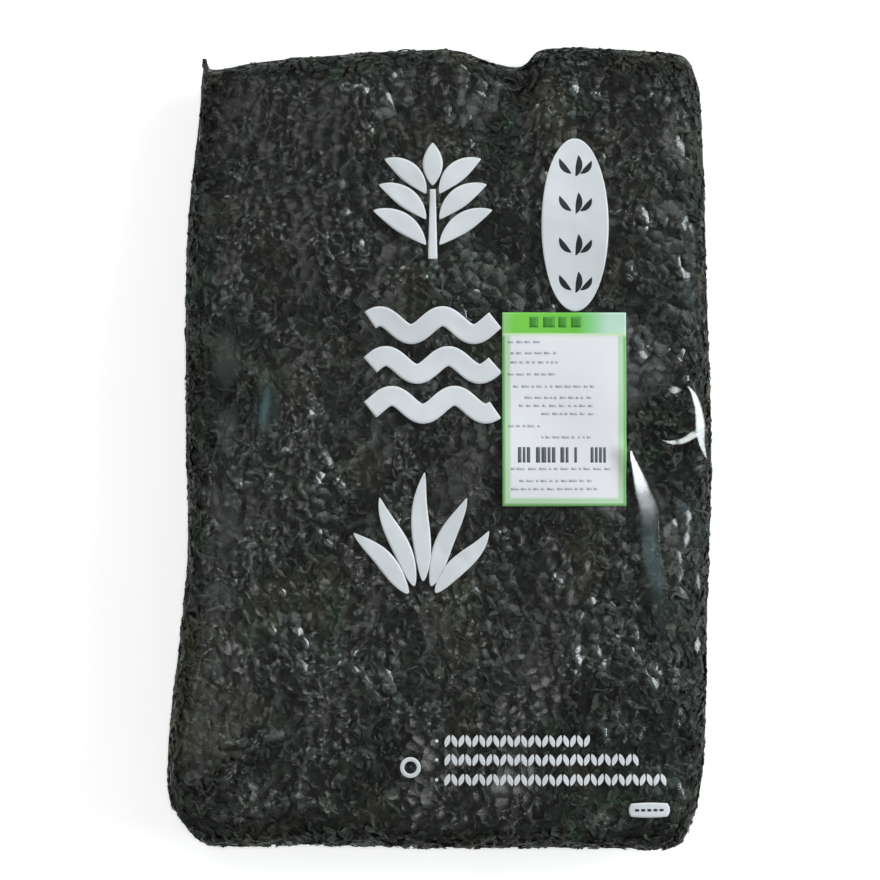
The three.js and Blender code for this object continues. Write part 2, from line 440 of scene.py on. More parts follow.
def bag_points(u, v, back):
    """Points of the bag's front or back: the outline's place, and a height that rises or falls from the seam
    by the fullness, which is the product of the two superellipses."""
    place = outline_place(u, v)
    x, y = place[..., 0], place[..., 1]
    thickness = THICKNESS_LOW + (THICKNESS_TOP - THICKNESS_LOW) * smoothstep(v, SETTLED_SHARE, 1)
    seam = SEAM_SHARE * thickness
    fullness = rounded(u, SIDE_POWER) * rounded(v, END_POWER)
    if back:
        z = seam * (1 - np.minimum(1, BACK_FILL * fullness))
    else:
        z = seam + (thickness - seam + swells(x, y) + ridges(FOLDS, x, y)) * fullness
    return np.stack([x, y, z], axis=-1)


print(f"thickness {THICKNESS_LOW} mm at the bottom and {THICKNESS_TOP} mm at the top end")

# %% [markdown]
# ## A grid over the whole bag
#
# Film, laver and print all follow the same surface, so it is worked out once, as a fine grid of points for
# the front and another for the back, joined along the outline. Even steps in u would leave the steep sides
# with hardly a point, so the steps are even along the cushion's own profile instead. A place between the
# points is blended from the four round it, and one that runs past the rim comes back on the other side.

# %% Grid
TINY = 1e-12  # keeps a length of 0 from being divided by
COLUMNS = 228
ROWS = 320
PROFILE_STEPS = 20000  # steps by which the profile is measured


def stations(width, rise, power, count):
    """Shares from 0 to 1 at even steps along the rounded profile's own length."""
    t = 0.5 - 0.5 * np.cos(np.linspace(0, np.pi, PROFILE_STEPS + 1))
    length = np.r_[0, np.cumsum(np.hypot(width * np.diff(t), rise * np.diff(rounded(t, power))))]
    return np.interp(np.linspace(0, length[-1], count + 1), length, t)


def grid_normals(points):
    """Unit normals of the front and back grids: each face's normal, the cross product of its diagonals, is
    added to its four corners, and the rim has the sum of both sides."""
    normals = np.zeros_like(points)
    for side, outward in ((0, 1), (1, -1)):
        p = points[side]
        face = outward * np.cross(p[1:, 1:] - p[:-1, :-1], p[1:, :-1] - p[:-1, 1:])
        normals[side, :-1, :-1] += face
        normals[side, :-1, 1:] += face
        normals[side, 1:, :-1] += face
        normals[side, 1:, 1:] += face
    for rim in (np.s_[:, 0], np.s_[:, -1], np.s_[:, :, 0], np.s_[:, :, -1]):
        normals[rim] = normals[rim].sum(axis=0)
    return normals / np.maximum(np.linalg.norm(normals, axis=-1, keepdims=True), TINY)


def between(grid, side, column, row):
    """Values of a grid at fractional columns and rows, as the weighted mean of the four points round each."""
    past = (column < 0) ^ (column > COLUMNS) ^ (row < 0) ^ (row > ROWS)
    side = np.where(past, 1 - side, side)
    column = np.clip(COLUMNS - np.abs(COLUMNS - np.abs(column)), 0, COLUMNS)
    row = np.clip(ROWS - np.abs(ROWS - np.abs(row)), 0, ROWS)
    c = np.minimum(column.astype(int), COLUMNS - 1)
    r = np.minimum(row.astype(int), ROWS - 1)
    a = (column - c)[..., None]
    b = (row - r)[..., None]
    low = (1 - a) * grid[side, r, c] + a * grid[side, r, c + 1]
    high = (1 - a) * grid[side, r + 1, c] + a * grid[side, r + 1, c + 1]
    return (1 - b) * low + b * high


front_rise = (1 - SEAM_SHARE) * THICKNESS_LOW
station_u = stations(BOTTOM_RIGHT[0] - BOTTOM_LEFT[0], front_rise, SIDE_POWER, COLUMNS)
station_v = stations(TOP_LEFT[1] - BOTTOM_LEFT[1], front_rise, END_POWER, ROWS)
grid_u, grid_v = np.meshgrid(station_u, station_v)
drawn = np.stack([bag_points(grid_u, grid_v, back) for back in (False, True)])
box_low, box_high = (np.array(corner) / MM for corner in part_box("bag"))
drawn_low, drawn_high = drawn.reshape(-1, 3).min(axis=0), drawn.reshape(-1, 3).max(axis=0)
to_frame = (box_low + box_high - drawn_low - drawn_high) / 2
to_frame[2] = box_low[2] - drawn_low[2]
form = drawn + to_frame
form_normals = grid_normals(form)
print("form less the solid, mm:", (drawn_high - drawn_low - (box_high - box_low)).round(2))
print("moved by", to_frame.round(3))

# %% [markdown]
# ## How the film lies on the laver
#
# Film that is drawn tight clings to the tangle and takes its lumps, which gives clusters of glints. Where it
# is slack it spans smoothly over it. A smooth random field serves for both: a sum of sine waves with random
# headings, cheap to work out for every point at once and the same on the front, sides and back because it
# is a field in space. A slower field of the same kind says where the film clings, and a few places are
# listed where it clings more or is slack. All of it fades out at the rim, so that the outline keeps its
# shape, and under the label, which lies smooth.

# %% Film relief
CLING_HEIGHT = 0.12  # usual height of the relief where the film clings
RIPPLE_HEIGHT = 0.1  # and of its ripples
CALMED = 0.7  # share of the ripples that slack film loses
# Seed, shortest and longest wavelength of the field that says where the film clings, of the relief that it
# takes there, and of the ripples that it has all over
CLING_WAVES = (14, 9, 26)
RELIEF_WAVES = (21, 5.0, 10.0)
RIPPLE_WAVES = (31, 11, 26)
CLING_LEAST = 0.1  # how far the film clings everywhere
CLING_LISTED = 0.15  # how much further in the listed places
CLING_CLUSTERS = 0.65  # and how much further at most by the field
CLING_RANGE = (-0.3, 1.5)  # values of the field where it starts to count, and where it counts in full
PLACE_EDGE = (0.7, 1.25)  # shares of a listed place's half size between which it fades out
RIM_FADE = 5.0  # distance from the rim within which the relief fades
LABEL_CENTRE = (44.7, 13.6)
LABEL_SIZE = (44.5, 69.5)
LABEL_FADE = 2.5
# Centre and half sizes of the places where the film is slack
SLACK = [
    ((83, 11), (15, 13)), ((73, -9), (8, 13)), ((77.5, -44), (6, 28)),
    ((-80, 20), (10, 24)), ((-63, 14), (6, 14)), ((-80, 122), (8, 8)), ((-86, 65), (5, 28)),
]  # fmt: skip
# And where it clings more
CLINGING = [
    ((-50, 92), (32, 40)), ((-52, -12), (24, 30)), ((-45, -90), (42, 38)), ((42, -64), (28, 24)),
]  # fmt: skip


def waves(points, seed, shortest, longest, count=48):
    """Smooth random field with a standard deviation of 1: the sum of sine waves in space, with random
    headings, shifts and wavelengths from shortest to longest, over the square root of half their number."""
    rng = np.random.default_rng(seed)
    heading = rng.normal(size=(count, 3))
    heading /= np.linalg.norm(heading, axis=1, keepdims=True)
    turns = 2 * np.pi * heading / rng.uniform(shortest, longest, (count, 1))
    shift = rng.uniform(0, 2 * np.pi, count)
    return np.sin(points @ turns.T + shift).sum(axis=-1) / np.sqrt(count / 2)


def off_label(points):
    """0 under the label and 1 from a little way outside it, and all over the back."""
    place = np.abs(points[..., :2] - to_frame[:2] - LABEL_CENTRE) - np.array(LABEL_SIZE) / 2
    return np.where(points[..., 2] > WIDEST_HEIGHT, smoothstep(place.max(axis=-1), 0, LABEL_FADE), 1)


def within(points, places):
    """1 in the given places of the front, 0 elsewhere, with a soft edge."""
    inside = np.zeros(points.shape[:-1])
    for centre, half in places:
        distance = np.linalg.norm((points[..., :2] - to_frame[:2] - centre) / np.array(half), axis=-1)
        inside = np.maximum(inside, 1 - smoothstep(distance, *PLACE_EDGE))
    return np.where(points[..., 2] > WIDEST_HEIGHT, inside, 0)


step_u = np.minimum(np.arange(COLUMNS + 1), COLUMNS - np.arange(COLUMNS + 1))
step_v = np.minimum(np.arange(ROWS + 1), ROWS - np.arange(ROWS + 1))
cell_side = np.median(np.linalg.norm(np.diff(form[0], axis=1), axis=-1))
inset = cell_side * np.minimum(step_u[None], step_v[:, None])  # way along the surface to the rim
from_corner = cell_side * (step_u[None] + step_v[:, None])  # and along it to the nearest corner

free = off_label(form) * smoothstep(inset, 0, RIM_FADE)
slack = within(form, SLACK)
clusters = smoothstep(waves(form, *CLING_WAVES), *CLING_RANGE)
tight = CLING_LEAST + CLING_LISTED * within(form, CLINGING) + CLING_CLUSTERS * clusters
tight *= (1 - slack) * free
ripple = RIPPLE_HEIGHT * free * (1 - CALMED * slack)
relief = CLING_HEIGHT * tight * waves(form, *RELIEF_WAVES) + ripple * waves(form, *RIPPLE_WAVES)
relief[0] += ridges(CREASES, *np.moveaxis(form[0, ..., :2] - to_frame[:2], -1, 0)) * free[0]
film = form + relief[..., None] * form_normals
film[..., 2] = np.maximum(film[..., 2], box_low[2])  # the back lies flat where it meets the floor
film_normals = grid_normals(film)
print(f"film relief {relief.min():.2f} to {relief.max():.2f} mm, cells {cell_side:.2f} mm")

# %% [markdown]
# ## The film
#
# The film is one closed skin. The front needs every point of the grid for its glints, and the back only
# every second one, so along the rim the back's cells take in the front's points between, which keeps the
# skin closed.
#
# Polypropylene film is clear and very smooth, drawn from a melt and cooled on a polished roll. Light that it
# doesn't mirror goes straight through, so its shader mixes a mirror-like gloss with full transparency by
# Fresnel's law. A film mirrors from both its faces, about 8 % straight on, which one surface does at an IOR
# of 1.8. At a low angle the small creases break the mirror up, so its share is capped, and the shoulders
# and walls, which are creased all over, keep little of it.
#
# The finest lumps, where the film is pressed on single shreds, are a bump: a Voronoi pattern gives the
# distance from the nearest of many scattered points, and its square, turned over, is a small dome round
# each of them. A dome mirrors each lamp once, as a round glint. A noise pattern would join the glints up
# into lines.


# %% Film skin
def skin_polygons():
    """Faces of a closed skin over both grids: the front's cells as they are, and the back's two by two, each
    as its four corners with the middle point of any side that lies on the rim."""
    number = np.arange(2 * (ROWS + 1) * (COLUMNS + 1)).reshape(2, ROWS + 1, COLUMNS + 1)
    for rim in (np.s_[0], np.s_[-1], np.s_[:, 0], np.s_[:, -1]):
        number[1][rim] = number[0][rim]
    front = number[0]
    cells = front[:-1, :-1], front[:-1, 1:], front[1:, 1:], front[1:, :-1]
    cells = np.stack(cells, axis=-1).reshape(-1, 4)
    coarse = number[1]
    sides = {
        "low": (coarse[:-2:2, 1::2], np.s_[0]),
        "right": (coarse[1::2, 2::2], np.s_[:, -1]),
        "high": (coarse[2::2, 1::2], np.s_[-1]),
        "left": (coarse[1::2, :-2:2], np.s_[:, 0]),
    }
    middles = {}
    for side, (numbers, rim) in sides.items():
        middles[side] = np.full_like(numbers, -1)
        middles[side][rim] = numbers[rim]
    corners = coarse[:-2:2, :-2:2], coarse[:-2:2, 2::2], coarse[2::2, 2::2], coarse[2::2, :-2:2]
    loop = [
        corners[0], middles["left"], corners[3], middles["high"],
        corners[2], middles["right"], corners[1], middles["low"],
    ]  # fmt: skip
    back = np.stack(loop, axis=-1).reshape(-1, 8)
    return np.vstack([np.pad(cells, ((0, 0), (0, 4)), constant_values=-1), back])


SKIN = skin_polygons()
print(f"skin of {len(SKIN)} faces")

# %% Clear film
LUMP_SIZE = 5.0  # usual way between the tops of the lumps
LUMP_HEIGHT = 1.6
LOOSE_LUMPS = 0.1  # share of that height where the film only lies on the laver
FILM_IOR = 1.8  # one surface that mirrors as much as the film's two
MIRROR_CAP = 0.14  # most that the film mirrors at a low angle
CLING_ROUGHNESS = 0.21
SMOOTH_ROUGHNESS = 0.16
SHOULDER_GLOSS = 0.04  # share of the gloss that the creased shoulders keep
SHOULDER_LEAN = (0.93, 0.998)  # upward parts of the normal between which the shoulders end
WALL_GLOSS = 0.08  # share that the walls have more than the shoulders
WALL_LEAN = (0.1, 0.35)  # upward parts of the normal between which that fades out
SLACK_DULL = 0.6  # share that the slack places lose, apart from their folds


def clear_film(name, roughness):
    """Clear film: a mirror-like gloss with the share of Fresnel's law, capped and times the gloss of the
    place, and clear for the rest. Its lumps are as high as the film clings."""
    material, tree = new_material(name)
    place = add(tree, "ShaderNodeTexCoord").outputs["Object"]
    lumps = add(tree, "ShaderNodeTexVoronoi", {"Scale": 1 / (LUMP_SIZE * MM)}, {"Vector": place})
    from_top = lumps.outputs["Distance"]
    domes = add(tree, "ShaderNodeMath", links={0: from_top, 1: from_top}, operation="MULTIPLY")
    cling = add(tree, "ShaderNodeAttribute", attribute_name="cling")
    bump = add(
        tree,
        "ShaderNodeBump",
        {"Distance": LUMP_HEIGHT * MM},
        {"Height": domes.outputs[0], "Strength": cling.outputs["Fac"]},
        invert=True,
    )
    fresnel = add(tree, "ShaderNodeFresnel", {"IOR": FILM_IOR})
    capped = add(tree, "ShaderNodeMath", {1: MIRROR_CAP}, {0: fresnel.outputs[0]}, operation="MINIMUM")
    sheer = add(tree, "ShaderNodeAttribute", attribute_name="gloss")
    mirrored = add(
        tree, "ShaderNodeMath", links={0: capped.outputs[0], 1: sheer.outputs["Fac"]}, operation="MULTIPLY"
    )
    gloss = add(
        tree,
        "ShaderNodeBsdfGlossy",
        {"Color": linear("#f6fafb"), "Roughness": roughness},
        {"Normal": bump.outputs[0]},
        distribution="GGX",
    )
    through = add(tree, "ShaderNodeBsdfTransparent", {"Color": linear("#fafcfb")})
    mix = add(
        tree,
        "ShaderNodeMixShader",
        links={0: mirrored.outputs[0], 1: through.outputs[0], 2: gloss.outputs[0]},
    )
    add(tree, "ShaderNodeOutputMaterial", links={"Surface": mix.outputs[0]})
    return material


upright = 1 - smoothstep(np.abs(form_normals[..., 2]), *SHOULDER_LEAN)
wall = 1 - smoothstep(np.abs(form_normals[..., 2]), *WALL_LEAN)
film_gloss = (1 - (1 - SHOULDER_GLOSS) * upright) * (1 - SLACK_DULL * slack) + WALL_GLOSS * wall
film_piece = make_piece(
    "film",
    film.reshape(-1, 3),
    SKIN,
    clear_film("clear polypropylene film on laver", CLING_ROUGHNESS),
    {"cling": (tight + LOOSE_LUMPS * (1 - slack)).ravel(), "gloss": film_gloss.ravel()},
)
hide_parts("bag")

# %% [markdown]
# ## Sharp folds of the film
#
# Where the film is slack it makes a few sharp little folds, and one flank of each leans so that it mirrors a
# light. The film's grid is too coarse for them. They could be cut into it with more points, but a narrow
# strip of film laid along each fold is simpler: at every point of its line it is turned until it faces
# halfway between straight up and its light, as far as the line lets it. Its gloss fades out towards its
# edges, so that it melts into the film below.


# %% Places on the film
def on_film(x, y, lift):
    """Points over places of the drawing: the film's point there, moved out along the film's normal."""
    u, v = outline_shares(x, y)
    column = np.interp(u, station_u, np.arange(COLUMNS + 1))
    row = np.interp(v, station_v, np.arange(ROWS + 1))
    front = np.zeros(x.shape, int)
    normal = between(film_normals, front, column, row)
    normal /= np.linalg.norm(normal, axis=-1, keepdims=True)
    return between(film, front, column, row) + lift * normal


def closed_sheet(upper, lower):
    """Points and faces of a thin closed sheet between two grids of points, with a wall round its edge, and
    which of the faces are smooth: all but the walls."""
    points = np.stack([upper, lower])
    number = np.arange(points[..., 0].size).reshape(points.shape[:3])
    corners = number[:, :-1, :-1], number[:, :-1, 1:], number[:, 1:, 1:], number[:, 1:, :-1]
    cells = np.stack(corners, axis=-1)
    edge = [number[:, 0, :-1], number[:, :-1, -1], number[:, -1, :0:-1], number[:, :0:-1, 0]]
    above, under = np.concatenate(edge, axis=1)
    walls = np.stack([under, np.roll(under, -1), np.roll(above, -1), above], axis=-1)
    faces = np.vstack([cells[0].reshape(-1, 4), cells[1].reshape(-1, 4)[:, ::-1], walls])
    return points.reshape(-1, 3), faces, np.arange(len(faces)) < len(faces) - len(walls)


def joined(sheets):
    """Points, faces and smooth faces of many closed sheets as one mesh."""
    points, faces, smooth = zip(*sheets)
    used = np.cumsum([0, *(len(p) for p in points[:-1])])
    faces = [f + start for f, start in zip(faces, used)]
    return np.vstack(points), np.vstack(faces), np.concatenate(smooth)


print("film over the middle of the drawing, mm:", on_film(np.zeros(1), np.zeros(1), 0.0)[0].round(1))

# %% Lines of the folds
# For each flank the lights that it faces at its start and at its end, how crisp its edges are, how often it
# bends up and down along its line, and for each point of the line x, y, width and gloss
FOLD_FLANKS = [
    ("corner", "window foot", 4, 3, [
        (89.0, 22.0, 0.5, 0.6), (91.0, 19.4, 2.2, 0.9), (92.5, 15.2, 3.4, 0.9), (93.3, 10.8, 4.2, 0.9),
        (93.5, 6.2, 4.8, 0.9), (94.0, 2.2, 3.4, 0.9), (94.9, -1.2, 2.0, 0.8), (96.0, -4.6, 0.5, 0.6),
    ]),  # rim of the slack pocket
    ("top left", "top", 4, 3, [
        (93.0, 6.6, 3.0, 0.0), (91.6, 4.9, 3.8, 1.0), (89.4, 3.3, 3.6, 1.0), (87.1, 2.2, 3.1, 1.0),
        (84.9, 1.7, 2.6, 1.0), (82.4, 1.8, 1.8, 0.9), (79.9, 2.5, 0.5, 0.6),
    ]),  # its foot
    ("top", "top", 4, 0, [
        (81.6, 20.8, 0.6, 0.0), (84.4, 20.5, 4.2, 0.8), (87.2, 20.4, 0.6, 0.0),
    ]),  # spot at the head of the pocket
    ("window", "corner", 4, 3, [
        (68.5, -1.0, 0.6, 1.0), (69.0, -3.5, 2.0, 1.0), (70.1, -6.8, 3.6, 1.0), (71.2, -10.3, 5.2, 1.0),
        (72.3, -14.0, 6.6, 0.8), (73.3, -17.5, 7.6, 0.4), (74.6, -21.5, 8.2, 0.2), (75.2, -26.0, 8.2, 0.1),
        (75.4, -32.0, 7.6, 0.0),
    ]),  # long pleat beside the label
    ("blue", "blue", 4, 3, [
        (74.0, -17.0, 7.6, 0.0), (74.7, -22.0, 8.0, 1.0), (75.3, -33.0, 8.0, 1.0), (75.9, -40.0, 8.0, 0.9),
        (77.7, -47.0, 8.0, 0.9), (78.4, -56.0, 7.0, 0.7), (78.7, -69.0, 4.0, 0.0),
    ]),  # and its low end
    ("window foot", "window", 2, 1, [
        (89.2, -21.6, 0.5, 0.0), (89.6, -24.8, 3.0, 0.5), (89.4, -28.0, 0.5, 0.0),
    ]),  # short creases down the right side
    ("window foot", "window", 2, 1, [
        (89.1, -29.0, 0.5, 0.0), (88.7, -32.8, 3.4, 0.5), (88.1, -36.6, 0.5, 0.0),
    ]),
    ("window foot", "window", 2, 1, [
        (92.4, -44.4, 0.5, 0.0), (92.8, -48.2, 2.6, 0.4), (93.3, -52.0, 0.5, 0.0),
    ]),
    ("window foot", "window", 2, 1, [
        (92.7, -67.6, 0.5, 0.0), (92.6, -71.0, 3.4, 0.6), (92.5, -74.6, 0.5, 0.0),
    ]),
    ("blue", "blue", 2, 1, [
        (-61.6, 30.0, 4.0, 0.0), (-61.9, 18.0, 13.0, 0.4), (-62.6, 9.0, 13.0, 0.4), (-62.8, -2.0, 4.0, 0.0),
    ]),  # soft pleat on the left
    ("blue", "blue", 2, 1, [
        (-61.2, 25.0, 0.8, 0.0), (-62.0, 18.0, 4.6, 1.0), (-63.2, 11.0, 4.6, 1.0), (-63.6, 3.0, 0.8, 0.0),
    ]),  # and its crest
    ("overhead", "overhead", 3, 1, [
        (-77.4, 45.0, 4.0, 0.0), (-76.8, 38.0, 12.0, 0.7), (-76.6, 30.0, 13.0, 0.7), (-77.4, 20.0, 7.0, 0.0),
    ]),  # film that stands off the laver there
    ("overhead", "overhead", 3, 0, [
        (-75.8, 17.0, 6.0, 0.0), (-76.2, 11.0, 11.0, 0.6), (-76.9, 5.0, 10.0, 0.6), (-78.6, -2.5, 1.0, 0.0),
    ]),
    ("left", "left", 2, 1, [
        (-86.6, 92.0, 0.8, 0.0), (-86.6, 74.0, 3.8, 0.25), (-87.0, 44.0, 4.2, 0.25), (-88.2, 20.0, 0.8, 0.0),
    ]),  # two lines down the left side
    ("left", "left", 2, 1, [(-81.4, 90.0, 0.8, 0.0), (-81.8, 68.0, 3.0, 0.15), (-82.0, 46.0, 0.8, 0.0)]),
    ("left", "left", 2, 0, [
        (-88.2, 13.8, 0.8, 0.25), (-85.0, 5.8, 3.0, 0.5), (-81.4, -3.3, 0.8, 0.25),
    ]),  # end of the pleat along the left side
    ("left", "left", 2, 1, [
        (-68.9, -31.6, 0.8, 0.25), (-67.6, -38.9, 2.6, 0.4), (-67.1, -45.1, 0.8, 0.25),
    ]),  # short creases lower down
    ("left", "left", 2, 1, [
        (-83.6, -95.0, 0.8, 0.25), (-82.8, -98.5, 2.2, 0.4), (-82.0, -102.0, 0.8, 0.25),
    ]),
    ("lower left", "lower left", 2, 0, [
        (-73.0, -124.0, 0.8, 0.25), (-71.2, -126.5, 2.2, 0.4), (-69.4, -129.0, 0.8, 0.25),
    ]),
]  # fmt: skip
print(f"{len(FOLD_FLANKS)} flanks of folds")

# %% Fold flanks
FLANK_LIFT = 0.06
FLANK_THICKNESS = 0.04
FLANK_LEAST = 0.2  # least width
FLANK_POINTS = (60, 13)  # points along a strip and across it


def turned(line, halfway):
    """Normals and sideways directions of a strip along a line: the wanted normals less their part along the
    line, and the cross product of these with the line."""
    ahead = np.gradient(line, axis=0)
    ahead /= np.linalg.norm(ahead, axis=1, keepdims=True)
    facing = halfway - (ahead * halfway).sum(axis=1, keepdims=True) * ahead
    facing /= np.linalg.norm(facing, axis=1, keepdims=True)
    return facing, np.cross(facing, ahead)


def fold_flank(first, last, crisp, bends, given):
    """Two grids of points for the faces of a strip along a curve through the given points, and its gloss. The
    strip faces halfway between straight up and the light, which goes from the first to the last. Its line is
    as high as its lower edge needs to clear the film, evened out by a polynomial. Width and gloss follow the
    given ones, and across the strip the gloss is times (1 - |share|^crisp)^2."""
    t = np.linspace(0, 1, FLANK_POINTS[0])
    x, y, width, gloss = np.moveaxis(on_edge(edge_curve(given), t), -1, 0)
    half = 0.5 * np.maximum(width, FLANK_LEAST)
    first, last = (sky_direction(*SKY_PATCHES[light][:2]) for light in (first, last))
    light = first + t[:, None] * (last - first)
    halfway = light / np.linalg.norm(light, axis=1, keepdims=True) + np.array([0, 0, 1])
    line = on_film(x, y, FLANK_LIFT)
    normal = on_film(x, y, FLANK_LIFT + 1) - line
    across = turned(line * np.array([1, 1, 0]), halfway)[1]
    height = line[:, 2] + half * np.abs((across * normal).sum(axis=1))
    even = np.polynomial.Polynomial.fit(t, height, bends)(t)
    line[:, 2] = even + np.max(height - even)
    facing, across = turned(line, halfway)
    share = np.linspace(-1, 1, FLANK_POINTS[1])
    upper = line[:, None] + np.multiply.outer(half, share)[..., None] * across[:, None]
    lower = upper - FLANK_THICKNESS * facing[:, None]
    return upper, lower, np.multiply.outer(np.maximum(gloss, 0), (1 - np.abs(share) ** crisp) ** 2)


strips, strip_gloss = [], []
for fold in FOLD_FLANKS:
    upper, lower, gloss_there = fold_flank(*fold)
    strips.append(closed_sheet(upper, lower))
    strip_gloss += [gloss_there.ravel(), np.zeros(gloss_there.size)]
strip_gloss = np.concatenate(strip_gloss)
points, faces, smooth = joined(strips)
make_piece(
    "film_folds",
    points,
    faces,
    clear_film("clear polypropylene film, smooth", SMOOTH_ROUGHNESS),
    {"cling": np.zeros(len(points)), "gloss": strip_gloss},
    smooth,
)

# %% [markdown]
# ## The laver
#
# Dried laver is thin sheets of seaweed, torn and pressed into a tangle. It is nearly black, with green, olive
# and brown where a sheet is thin, and it has the satin gloss of a dry leaf. A picture of it would be flat
# under the film, so the tangle is real: a crumpled core just inside the film, and over it thousands of
# creased shreds in four kinds, wide flakes below, shreds above them, and crumbs and thin strands on top.

# %% Dried laver
LAVER_DARK = "#121411"
LAVER_OLIVE = "#4c4b33"
LAVER_GREEN = "#304a36"
PATCH_SIZE = 30.0  # of the olive patches
PATCH_RANGE = (0.52, 0.72)  # values of the noise where a patch starts, and where it is full
PATCH_SHARE = 0.45  # most of the olive in a patch
SPOT_SIZE = 14.0  # of the green spots, and the same for them
SPOT_RANGE = (0.58, 0.75)
SPOT_SHARE = 0.5
SPOT_SHIFT = 3.0  # along the noise's fourth axis, so that the spots lie apart from the patches
WRINKLE_SIZE = 2.2
WRINKLE_HEIGHT = 0.2
WRINKLE_STRENGTH = 0.7
WRINKLE_RANGE = (0.3, 0.7)  # values of the noise in the hollows and on the crests
SATIN = (0.32, 0.52)  # roughness there
LAVER_IOR = 1.45
LAVER_SPECULAR = 0.3


def dried_laver(name, light):
    """Dry seaweed sheet: near black-green, each shred in its own tone darkened by painted shade,
    in patches greener or browner, with a satin gloss from its smooth, wrinkled skin."""
    material, tree = new_material(name)
    place = add(tree, "ShaderNodeTexCoord").outputs["Object"]
    # the tone attribute holds each shred's own tone times painted shade in gaps, at the rim and towards the
    # top
    tone = add(tree, "ShaderNodeAttribute", attribute_name="tone")
    tone_and_shade = add(
        tree,
        "ShaderNodeMix",
        {6: linear(LAVER_DARK), 7: linear(light)},
        {0: tone.outputs["Fac"]},
        data_type="RGBA",
    )
    patches = add(
        tree,
        "ShaderNodeTexNoise",
        {"Scale": 1 / (PATCH_SIZE * MM), "Detail": 3.0},
        {"Vector": place},
    )
    olive = add(
        tree,
        "ShaderNodeMapRange",
        {"From Min": PATCH_RANGE[0], "From Max": PATCH_RANGE[1], "To Max": PATCH_SHARE},
        {"Value": patches.outputs["Fac"]},
        interpolation_type="SMOOTHSTEP",
    )
    tinted = add(
        tree,
        "ShaderNodeMix",
        {7: linear(LAVER_OLIVE)},
        {0: olive.outputs[0], 6: tone_and_shade.outputs[2]},
        data_type="RGBA",
    )
    spots = add(
        tree,
        "ShaderNodeTexNoise",
        {"Scale": 1 / (SPOT_SIZE * MM), "Detail": 2.0, "W": SPOT_SHIFT},
        {"Vector": place},
        noise_dimensions="4D",
    )
    green = add(
        tree,
        "ShaderNodeMapRange",
        {"From Min": SPOT_RANGE[0], "From Max": SPOT_RANGE[1], "To Max": SPOT_SHARE},
        {"Value": spots.outputs["Fac"]},
        interpolation_type="SMOOTHSTEP",
    )
    coloured = add(
        tree,
        "ShaderNodeMix",
        {7: linear(LAVER_GREEN)},
        {0: green.outputs[0], 6: tinted.outputs[2]},
        data_type="RGBA",
    )
    wrinkles = add(
        tree,
        "ShaderNodeTexNoise",
        {"Scale": 1 / (WRINKLE_SIZE * MM), "Detail": 1.0},
        {"Vector": place},
    )
    bump = add(
        tree,
        "ShaderNodeBump",
        {"Distance": WRINKLE_HEIGHT * MM, "Strength": WRINKLE_STRENGTH},
        {"Height": wrinkles.outputs["Fac"]},
    )
    dullness = add(
        tree,
        "ShaderNodeMapRange",
        {
            "From Min": WRINKLE_RANGE[0], "From Max": WRINKLE_RANGE[1],
            "To Min": SATIN[0], "To Max": SATIN[1],
        },  # fmt: skip
        {"Value": wrinkles.outputs["Fac"]},
    )
    leaf = add(
        tree,
        "ShaderNodeBsdfPrincipled",
        {"IOR": LAVER_IOR, "Specular IOR Level": LAVER_SPECULAR},
        {"Base Color": coloured.outputs[2], "Roughness": dullness.outputs[0], "Normal": bump.outputs[0]},
    )
    add(tree, "ShaderNodeOutputMaterial", links={"Surface": leaf.outputs[0]})
    return material


crumpled_laver = dried_laver("dried laver, crumpled", light="#292c26")
torn_laver = dried_laver("dried laver, torn", light="#575b53")
print("finishes of the laver:", crumpled_laver.name, "and", torn_laver.name)

# %% Core
# Seed, shortest and longest wavelength of the painted shade between clumps, the crumpled ridges and the fine
# ones
GAP_SHADE_WAVES = (47, 4.0, 10.0)
CRUMPLE_WAVES = (41, 4.5, 10.0)
FINE_WAVES = (43, 2.6, 5.0)
GAP_SHADE_RANGE = (-1.4, 1.6)  # values of the field where the painted shade is darkest and where it is gone
CREST = 1.6  # how sharp the ridges are
FINE_SHARE = 0.35  # share of the fine ridges in the relief
CORE_DEPTH = 2.6  # of the core's hollows under the film
CORE_RELIEF = 1.3  # height of the ridges over them
RIM_DEPTH = 0.12  # share of the depth that the core has at the rim
RIM_RISE = (1.0, 6.0)  # ways from the rim between which the core sinks to its full depth
CORNER_FADE = (12.0, 45.0)  # and ways from a corner
CORE_CLEARANCE = 0.3  # from the floor
RIM_LIGHTNESS = 0.2  # share of the laver's tone that painted shade leaves at the rim
RIM_SHADE = (6.0, 32.0)  # ways from the rim between which the painted shade fades and the laver gets its full tone
TOP_SHADE = 0.45  # share of it that is lost towards the top end
TOP_SPAN = (0.55, 0.95)  # shares of the length between which that sets in


def painted_gap_shade(points):
    """Painted shade: 0 in the dark gaps between clumps of laver, 1 on the clumps: a random field, squeezed.
    """
    return smoothstep(waves(points, *GAP_SHADE_WAVES), *GAP_SHADE_RANGE)


crumple = np.exp(-np.abs(waves(form, *CRUMPLE_WAVES)) * CREST)
fine = np.exp(-np.abs(waves(form, *FINE_WAVES)) * CREST)
depth = CORE_DEPTH - CORE_RELIEF * ((1 - FINE_SHARE) * crumple + FINE_SHARE * fine)
sunk = smoothstep(inset, *RIM_RISE) * smoothstep(from_corner, *CORNER_FADE)
depth *= RIM_DEPTH + (1 - RIM_DEPTH) * sunk
core = film - depth[..., None] * film_normals
core[..., 2] = np.maximum(core[..., 2], box_low[2] + CORE_CLEARANCE)
# Painted shade: the laver's tone is darkened towards the rim and towards the top end
painted_shade = RIM_LIGHTNESS + (1 - RIM_LIGHTNESS) * smoothstep(inset, *RIM_SHADE)
painted_shade *= 1 - TOP_SHADE * smoothstep(grid_v, *TOP_SPAN)
# the core's tone is painted shade alone: dark in the gaps between clumps, at the rim and towards the top end
core_painted_shade = painted_gap_shade(form) * painted_shade
make_piece(
    "laver_core",
    core.reshape(-1, 3),
    SKIN,
    crumpled_laver,
    {"tone": core_painted_shade.ravel()},
)

